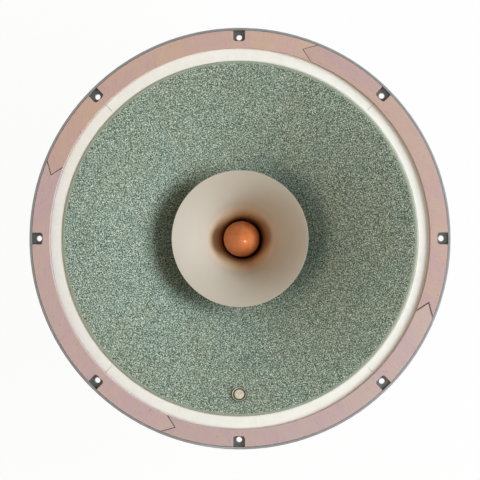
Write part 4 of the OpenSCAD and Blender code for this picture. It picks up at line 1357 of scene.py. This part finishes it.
@dataclass
class MovingCone:
    """The cone, the whizzer, the badge, the voice coil and the wires that move with them."""

    bench: Bench
    sizes: Sizes
    collar_end: float = -79.4
    whizzer_r: float = 63.5
    whizzer_neck_z: float = -71.5
    whizzer_depth: float = 59.0
    whizzer_curve: float = 2.0
    whizzer_t: float = 0.5
    whizzer_foot: float = -74.5
    badge_r: float = 7.0
    badge_out: float = 143.8
    badge_t: float = 1.2
    badge_lift: float = 0.3
    eyelet_out: float = 48.0
    eyelet_turn: float = 11.5
    eyelet_head: float = 2.3
    wire_r: float = 0.25
    hub_top: float = -81.5

    def papers(self) -> None:
        """The main cone and the whizzer, both flares by the same rule."""
        s = self.sizes
        common = {"Neck Radius": mm(s.neck_r), "Collar Side": 1.0}
        cone = TurnedSheet("cone_paper", {
            **common, "Rim Radius": mm(s.cone_r), "Neck Height": mm(s.cone_neck_z),
            "Depth": mm(s.cone_depth), "Curve": s.cone_curve, "Hem Width": mm(s.hem_w),
            "Hem Drop": mm(s.hem_drop), "Thickness": mm(s.cone_t),
            "Collar End": mm(self.collar_end), "Crowding": 1.0}, flare_rule, steps=130)
        whizzer = TurnedSheet("whizzer_paper", {
            **common, "Rim Radius": mm(self.whizzer_r), "Neck Height": mm(self.whizzer_neck_z),
            "Depth": mm(self.whizzer_depth), "Curve": self.whizzer_curve, "Hem Width": mm(1),
            "Hem Drop": 0.0, "Thickness": mm(self.whizzer_t),
            "Collar End": mm(self.whizzer_foot), "Crowding": 1.6}, flare_rule, steps=100)
        self.bench.fit(cone.build(self.bench.material(CONE_PULP)), Body.CONE, "cone_pulp", "main_cone")
        self.bench.fit(whizzer.build(self.bench.material(WHIZZER_PAPER)), Body.CONE,
                       "whizzer_paper", "whizzer_cone")

    def on_cone(self, piece: Piece, out: float, bearing: float, lift: float) -> None:
        """Moves a piece's mesh from the axis onto the cone's face, square to it."""
        tilt = atan(self.sizes.cone_slope(out))
        turn = radians(bearing)
        piece.data.transform(
            Matrix.Rotation(turn, 4, "Z")
            @ Matrix.Translation((mm(out), 0, mm(self.sizes.cone_z(out))))
            @ Matrix.Rotation(-tilt, 4, "Y") @ Matrix.Translation((0, 0, mm(lift))))

    def badge(self) -> None:
        """A bare round badge: a rolled rim, a sunken ring and a low dome."""
        r, t = self.badge_r, self.badge_t
        outline = [(0, 0), (r - 0.15, 0), (r, 0.15), (r, t * 0.72)]
        outline += [(r - 0.45 + 0.45 * cos(a), t * 0.72 + 0.34 * sin(a))
                    for a in (k * pi / 8 for k in range(1, 8))]
        outline += [(r - 0.95, t * 0.35), (r - 2.15, t * 0.35), (r - 2.4, t * 0.62)]
        outline += [(out, t * 0.62 + 0.3 * (1 - (out / (r - 2.4)) ** 2))
                    for out in ((r - 2.4) * k / 6 for k in range(5, 0, -1))]
        outline += [(0, t * 0.62 + 0.3)]
        piece = lathe("badge_disc", outline, turns=72)
        self.on_cone(piece, self.badge_out, 270, self.badge_lift)
        middle = (0.0, -self.badge_out, self.sizes.cone_z(self.badge_out) + self.badge_lift)
        brass = replace(BADGE_BRASS, centre_mm=middle, grooves=((5.25, 0.8), (7.0, 0.4)))
        coated(piece, self.bench.material(brass))
        smoothed(piece)
        self.bench.fit(piece, Body.CONE, "badge_brass", "cone_badge")

    def lead_wires(self) -> None:
        """The two enamelled wires glued behind the cone, from the eyelets to the hub."""
        s = self.sizes
        off = self.wire_r + 0.12
        low = s.neck_r + s.cone_t + off
        start = self.eyelet_out - self.eyelet_head - off - 1
        steps = 24
        flat = []
        for k in range(steps + 1):
            out = start + (low + 2 - start) * k / steps
            tilt = atan(s.cone_slope(out))
            flat.append((out + off * sin(tilt), s.cone_back(out) - off * cos(tilt)))
        flat += [(low, s.cone_neck_z - 2), (low, self.collar_end), (low, self.hub_top + 0.3)]
        data = bpy.data.curves.new("coil_wires", "CURVE")
        data.dimensions = "3D"
        data.bevel_depth = mm(self.wire_r)
        data.bevel_resolution = 3
        data.use_fill_caps = True
        for side in Side:
            turn = radians(270 + side.value * self.eyelet_turn)
            line = data.splines.new("POLY")
            line.points.add(len(flat) - 1)
            for point, (out, z) in zip(line.points, flat):
                point.co = (*polar(out, turn, z), 1)
        wire = placed("coil_wires", data)
        graph = bpy.context.evaluated_depsgraph_get()
        mesh = bpy.data.meshes.new_from_object(wire.evaluated_get(graph))
        bpy.data.objects.remove(wire)
        piece = placed("coil_wires", mesh)
        facing_out(piece.data, 0.0005)
        coated(piece, self.bench.material(MAGNET_WIRE))
        smoothed(piece)
        self.bench.fit(piece, Body.CONE, "magnet_wire", "coil_leads")

    def build(self) -> None:
        """Makes everything that moves with the cone."""
        self.papers()
        self.badge()
        self.lead_wires()
        self.bench.softened("lead_eyelets", EYELET_BRASS, "eyelet_brass", 0.1, body=Body.CONE)
        self.bench.dress("coil_former", FORMER_FOIL)
        self.bench.dress("voice_coil_winding", MAGNET_WIRE)


@dataclass
class CentringDisc:
    """The corrugated cloth that centres the voice coil, with its board ring and screws."""

    bench: Bench
    hub_r: float = 19.8
    rim_r: float = 75.5
    height: float = -85.5
    thickness: float = 0.6
    hub_top: float = -81.5
    wave_start: float = 23.0
    wave_end: float = 67.0
    waves: int = 6
    wave_height: float = 1.8

    def share(self, place: Vector) -> float:
        """How far a point would follow the cone: all at the hub, none at the glued rim."""
        out = hypot(place.x, place.y) * 1000
        run = (self.wave_end - out) / (self.wave_end - self.wave_start)
        return min(1.0, max(0.0, run))

    def build(self, tree: Tree) -> None:
        """Makes the disc and what holds it; the disc's bend from its rim to its hub is not made."""
        disc = TurnedSheet("centring_cloth", {
            "Neck Radius": mm(self.hub_r), "Rim Radius": mm(self.rim_r),
            "Neck Height": mm(self.height), "Thickness": mm(self.thickness),
            "Collar End": mm(self.hub_top), "Collar Side": -1.0, "Crowding": 1.0,
            "Wave Start": mm(self.wave_start), "Wave Run": mm(self.wave_end - self.wave_start),
            "Waves": float(self.waves), "Wave Height": mm(self.wave_height)},
            wave_rule, steps=260, turns=180, collar_share=0.03, rim_share=0.02)
        piece = disc.build(self.bench.material(DISC_CLOTH))
        self.bench.bend(
            piece, "disc_cloth", "centring_disc", Vector((mm(self.wave_end), 0, 0)),
            Vector((mm(self.wave_start), 0, 0)), self.share)
        self.bench.softened("disc_clamp_ring", RING_BOARD, "ring_board", 0.3)
        Screws("clamp_ring_screws", 3, 5.55, 1.8, 9.6, count=6,
               circle=72, place=(0, 0, -83.5), seed=3).build(self.bench, tree)


@dataclass
class Magnet:
    """The field-coil magnet: plates, pole, pot, coil and the screws that hold them."""

    bench: Bench
    plate_edge: float = 0.8
    iron_edge: float = 1.2

    def build(self, tree: Tree) -> None:
        """Makes the magnet's pieces."""
        bench = self.bench
        bench.softened("front_plate", PLATE_STEEL, "plate_steel", self.plate_edge)
        bench.softened("pot", POT_ENAMEL, "pot_enamel", self.iron_edge, 3)
        bench.softened("back_plate", POT_ENAMEL, "pot_enamel", self.iron_edge, 3)
        bench.dress("pole_piece", PLATE_STEEL)
        bench.dress("pole_cap", CAP_COPPER)
        bench.dress("field_coil_bobbin", RING_BOARD)
        bench.dress("field_coil_winding", MAGNET_WIRE)
        Screws("basket_screws", 5, 8.5, 3.5, 25, count=8, circle=82,
               place=(0, 0, -95.1), seed=5).build(bench, tree)
        Screws("back_plate_screws", 5, 8.5, 3.5, 15.5, count=6,
               circle=82.5, place=(0, 0, -174.1), turn=(180, 0, 0), bearing=-30,
               seed=8).build(bench, tree)
        Screws("pole_bolt", 10, 17, 6, 22, count=1, circle=0,
               place=(0, 0, -171.1), turn=(180, 0, 0), seed=2).build(bench, tree)


@dataclass
class PhasePlug:
    """The turned copper plug that stands on the pole, and its stud."""

    bench: Bench
    radius: float = 16.75
    low: float = -99.65
    shoulder: float = -42.5
    nose: float = 10.5
    power: float = 0.6
    nose_steps: int = 40
    foot_edge: float = 0.5
    ring_height: float = 0.012
    ring_pitch: float = 1.3
    ring_span: tuple[float, float] = (0.4, 5.0)

    def outline(self) -> Outline:
        """The plug's side and its nose, with the shallow rings that the tool left at the tip."""
        points = [(0.0, self.low), (self.radius - self.foot_edge, self.low),
                  (self.radius, self.low + self.foot_edge), (self.radius, self.shoulder)]
        for k in range(1, self.nose_steps + 1):
            share = sin(pi / 2 * k / self.nose_steps)
            out = self.radius * max(0.0, 1 - share * share) ** self.power
            ringed = self.ring_span[0] < out < self.ring_span[1]
            ring = self.ring_height * sin(out * tau / self.ring_pitch) if ringed else 0.0
            points.append((out if k < self.nose_steps else 0.0, self.shoulder + self.nose * share + ring))
        return points

    def build(self) -> None:
        """Makes the plug."""
        piece = lathe("turned_plug", self.outline(), turns=144)
        coated(piece, self.bench.material(PLUG_COPPER))
        smoothed(piece, 40)
        self.bench.fit(piece, Body.CHASSIS, "plug_copper", "phase_plug")
        self.bench.dress("plug_stud", ZINC_STEEL)


@dataclass
class Terminals:
    """The voice coil's push terminals and braided leads, and the field coil's terminal block."""

    bench: Bench
    pitch: float = 19.0
    height: float = -80.18
    spring_start: float = -94.6
    spring_length: float = 6.1
    spring_r: float = 2.65
    spring_wire: float = 0.5
    spring_turns: float = 5.0
    press: float = 3.0
    # The right-hand lead's route, from its terminal to its eyelet
    route: tuple[tuple[float, float, float], ...] = (
        (9.5, -83.8, -80), (9.5, -81, -80), (9.5, -77.5, -79), (9.5, -74, -76.5),
        (9.6, -70.5, -73), (9.6, -66.5, -69.5), (9.7, -62, -66.5), (9.8, -57.5, -63.5),
        (9.9, -53.5, -60), (9.9, -50.5, -56.5), (9.8, -48.5, -53.5))
    lead_r: float = 1.0
    strand_r: float = 0.34
    strands: int = 8
    winds: float = 5.0
    lead_steps: int = 150

    @staticmethod
    def braid_recipe() -> Tree:
        """Geometry Nodes: strands that wind both ways round a route."""
        tree, given = recipe("braided_lead", {
            "Strands": "Int", "Winds": "Float", "Steps": "Int", "Lay Radius": "Float",
            "Strand Radius": "Float"})
        route = add(tree, "GeometryNodeMeshToCurve", {0: given["Geometry"]})
        fine = add(tree, "GeometryNodeResampleCurve", {"Curve": route.outputs[0], "Count": given["Steps"]})
        strands = add(tree, "GeometryNodeDuplicateElements", {
            "Geometry": fine.outputs[0], "Amount": given["Strands"]}, domain="SPLINE")
        number = Term(tree, strands.outputs["Duplicate Index"])
        along = Term(tree, add(tree, "GeometryNodeSplineParameter").outputs["Factor"])
        hand = number.do("MODULO", 2.0) * 2.0 - 1.0
        wound = (along * given["Winds"] * hand + number / given["Strands"]) * tau
        across, up = wound.turned(given["Lay Radius"])
        normal = add(tree, "GeometryNodeInputNormal").outputs[0]
        tangent = add(tree, "GeometryNodeInputTangent").outputs[0]
        second = add(tree, "ShaderNodeVectorMath", {0: tangent, 1: normal}, operation="CROSS_PRODUCT")
        one, two = (
            add(tree, "ShaderNodeVectorMath", {0: way, "Scale": size}, operation="SCALE").outputs[0]
            for way, size in ((normal, across), (second.outputs[0], up)))
        offset = add(tree, "ShaderNodeVectorMath", {0: one, 1: two}, operation="ADD")
        laid = add(tree, "GeometryNodeSetPosition", {
            "Geometry": strands.outputs["Geometry"], "Offset": offset.outputs[0]})
        return served(tree, given, tube(tree, laid.outputs[0], given["Strand Radius"], 6))

    @staticmethod
    def spring_recipe() -> Tree:
        """Geometry Nodes: an open coil spring that is seated by its place and turn."""
        tree, given = recipe("coil_spring", {
            "Turns": "Float", "Mean Radius": "Float", "Length": "Float", "Wire Radius": "Float",
            "Place": "Vector", "Turn": "Vector"})
        coil = add(tree, "GeometryNodeCurveSpiral", {
            "Resolution": 24, "Rotations": given["Turns"], "Start Radius": given["Mean Radius"],
            "End Radius": given["Mean Radius"], "Height": given["Length"]})
        return served(tree, given, tube(tree, coil.outputs[0], given["Wire Radius"], 10))

    def lead(self, side: Side, tree: Tree) -> None:
        """A braided lead from the terminal to the cone; nothing makes it follow either end."""
        name = f"tinsel_lead_{side.word}"
        points = [Vector((side.value * x, y, z)) / 1000 for x, y, z in self.route]
        mesh = bpy.data.meshes.new(f"{name}_braid")
        mesh.from_pydata(points, [(k, k + 1) for k in range(len(points) - 1)], [])
        piece = placed(mesh.name, mesh)
        cooked(piece, tree, {
            "Strands": self.strands, "Winds": self.winds, "Steps": self.lead_steps,
            "Lay Radius": mm(self.lead_r - self.strand_r), "Strand Radius": mm(self.strand_r),
            "Material": self.bench.material(TINSEL)})
        smoothed(piece)
        self.bench.bend(piece, "tinsel", name, points[0], points[-1])

    def spring(self, side: Side, tree: Tree) -> None:
        """A terminal's spring, made at its full length; nothing shortens it when its plunger is pressed."""
        name = f"terminal_spring_{side.word}"
        piece = placed(f"{name}_coil", bpy.data.meshes.new(f"{name}_coil"))
        run = self.spring_length - self.spring_wire
        cooked(piece, tree, {
            "Turns": self.spring_turns, "Mean Radius": mm(self.spring_r), "Length": mm(run),
            "Wire Radius": mm(self.spring_wire / 2),
            "Place": [mm(side.value * self.pitch / 2),
                      mm(self.spring_start - self.spring_wire / 2), mm(self.height)],
            "Turn": [pi / 2, 0.0, 0.0], "Material": self.bench.material(SPRING_WIRE)})
        smoothed(piece)
        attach(piece, Body.CHASSIS.value)
        mm(self.spring_start)
        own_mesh(piece)
        self.bench.name(piece, "spring_steel", name)

    def build(self, screws: Tree) -> None:
        """Makes both terminals, the leads and the block."""
        bench = self.bench
        bench.softened("terminal_board", LAMINATE, "terminal_laminate", 0.3)
        bench.softened("field_terminal_block", LAMINATE, "terminal_laminate", 0.8, 3)
        braid, coil = self.braid_recipe(), self.spring_recipe()
        for side, body, slot, finish in (
                (Side.LEFT, Body.LEFT_PLUNGER, "button_black", BLACK_BUTTON),
                (Side.RIGHT, Body.RIGHT_PLUNGER, "button_red", RED_BUTTON)):
            bench.softened(f"terminal_body_{side.word}", NICKEL, "terminal_nickel", 0.25)
            bench.softened(f"terminal_plunger_{side.word}", finish, slot, 0.25, 3, body)
            self.spring(side, coil)
            self.lead(side, braid)
        small = {"thread_d": 3, "head_d": 5.55, "head_h": 1.8, "count": 2, "turn": (90, 0, 0)}
        Screws("terminal_board_screws", length=12, circle=20,
               place=(0, -91, -88.1), seed=4, **small).build(bench, screws)
        Screws("field_block_screws", length=14, circle=17,
               place=(0, -97, -139.1), seed=6, **small).build(bench, screws)
        Screws("field_terminal_screws", slot="eyelet_brass", finish=EYELET_BRASS, length=5.2, circle=7,
               place=(0, -97, -139.1), seed=9, washer=(3.775, 0.8), **small).build(bench, screws)


def corners(box: tuple[Vector, Vector]) -> list[list[float]]:
    """A box's two corners as plain numbers."""
    return [[round(c, 6) for c in corner] for corner in box]


def main() -> None:
    """Builds the studio and the driver."""
    logging.basicConfig(level=logging.INFO, format="%(name)s: %(message)s")
    packed = corners(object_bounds())
    bench = Bench(frame)
    sizes = Sizes()
    Studio().build(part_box("gasket_segment_1")[1].z)
    screws = screws_recipe()
    Rim(bench).build()
    Surround(bench, sizes).build()
    MovingCone(bench, sizes).build()
    CentringDisc(bench).build(screws)
    Magnet(bench).build(screws)
    PhasePlug(bench).build()
    Terminals(bench).build(screws)
    {"cad": packed, "visual": corners(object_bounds())}


if __name__ == "__main__":
    main()
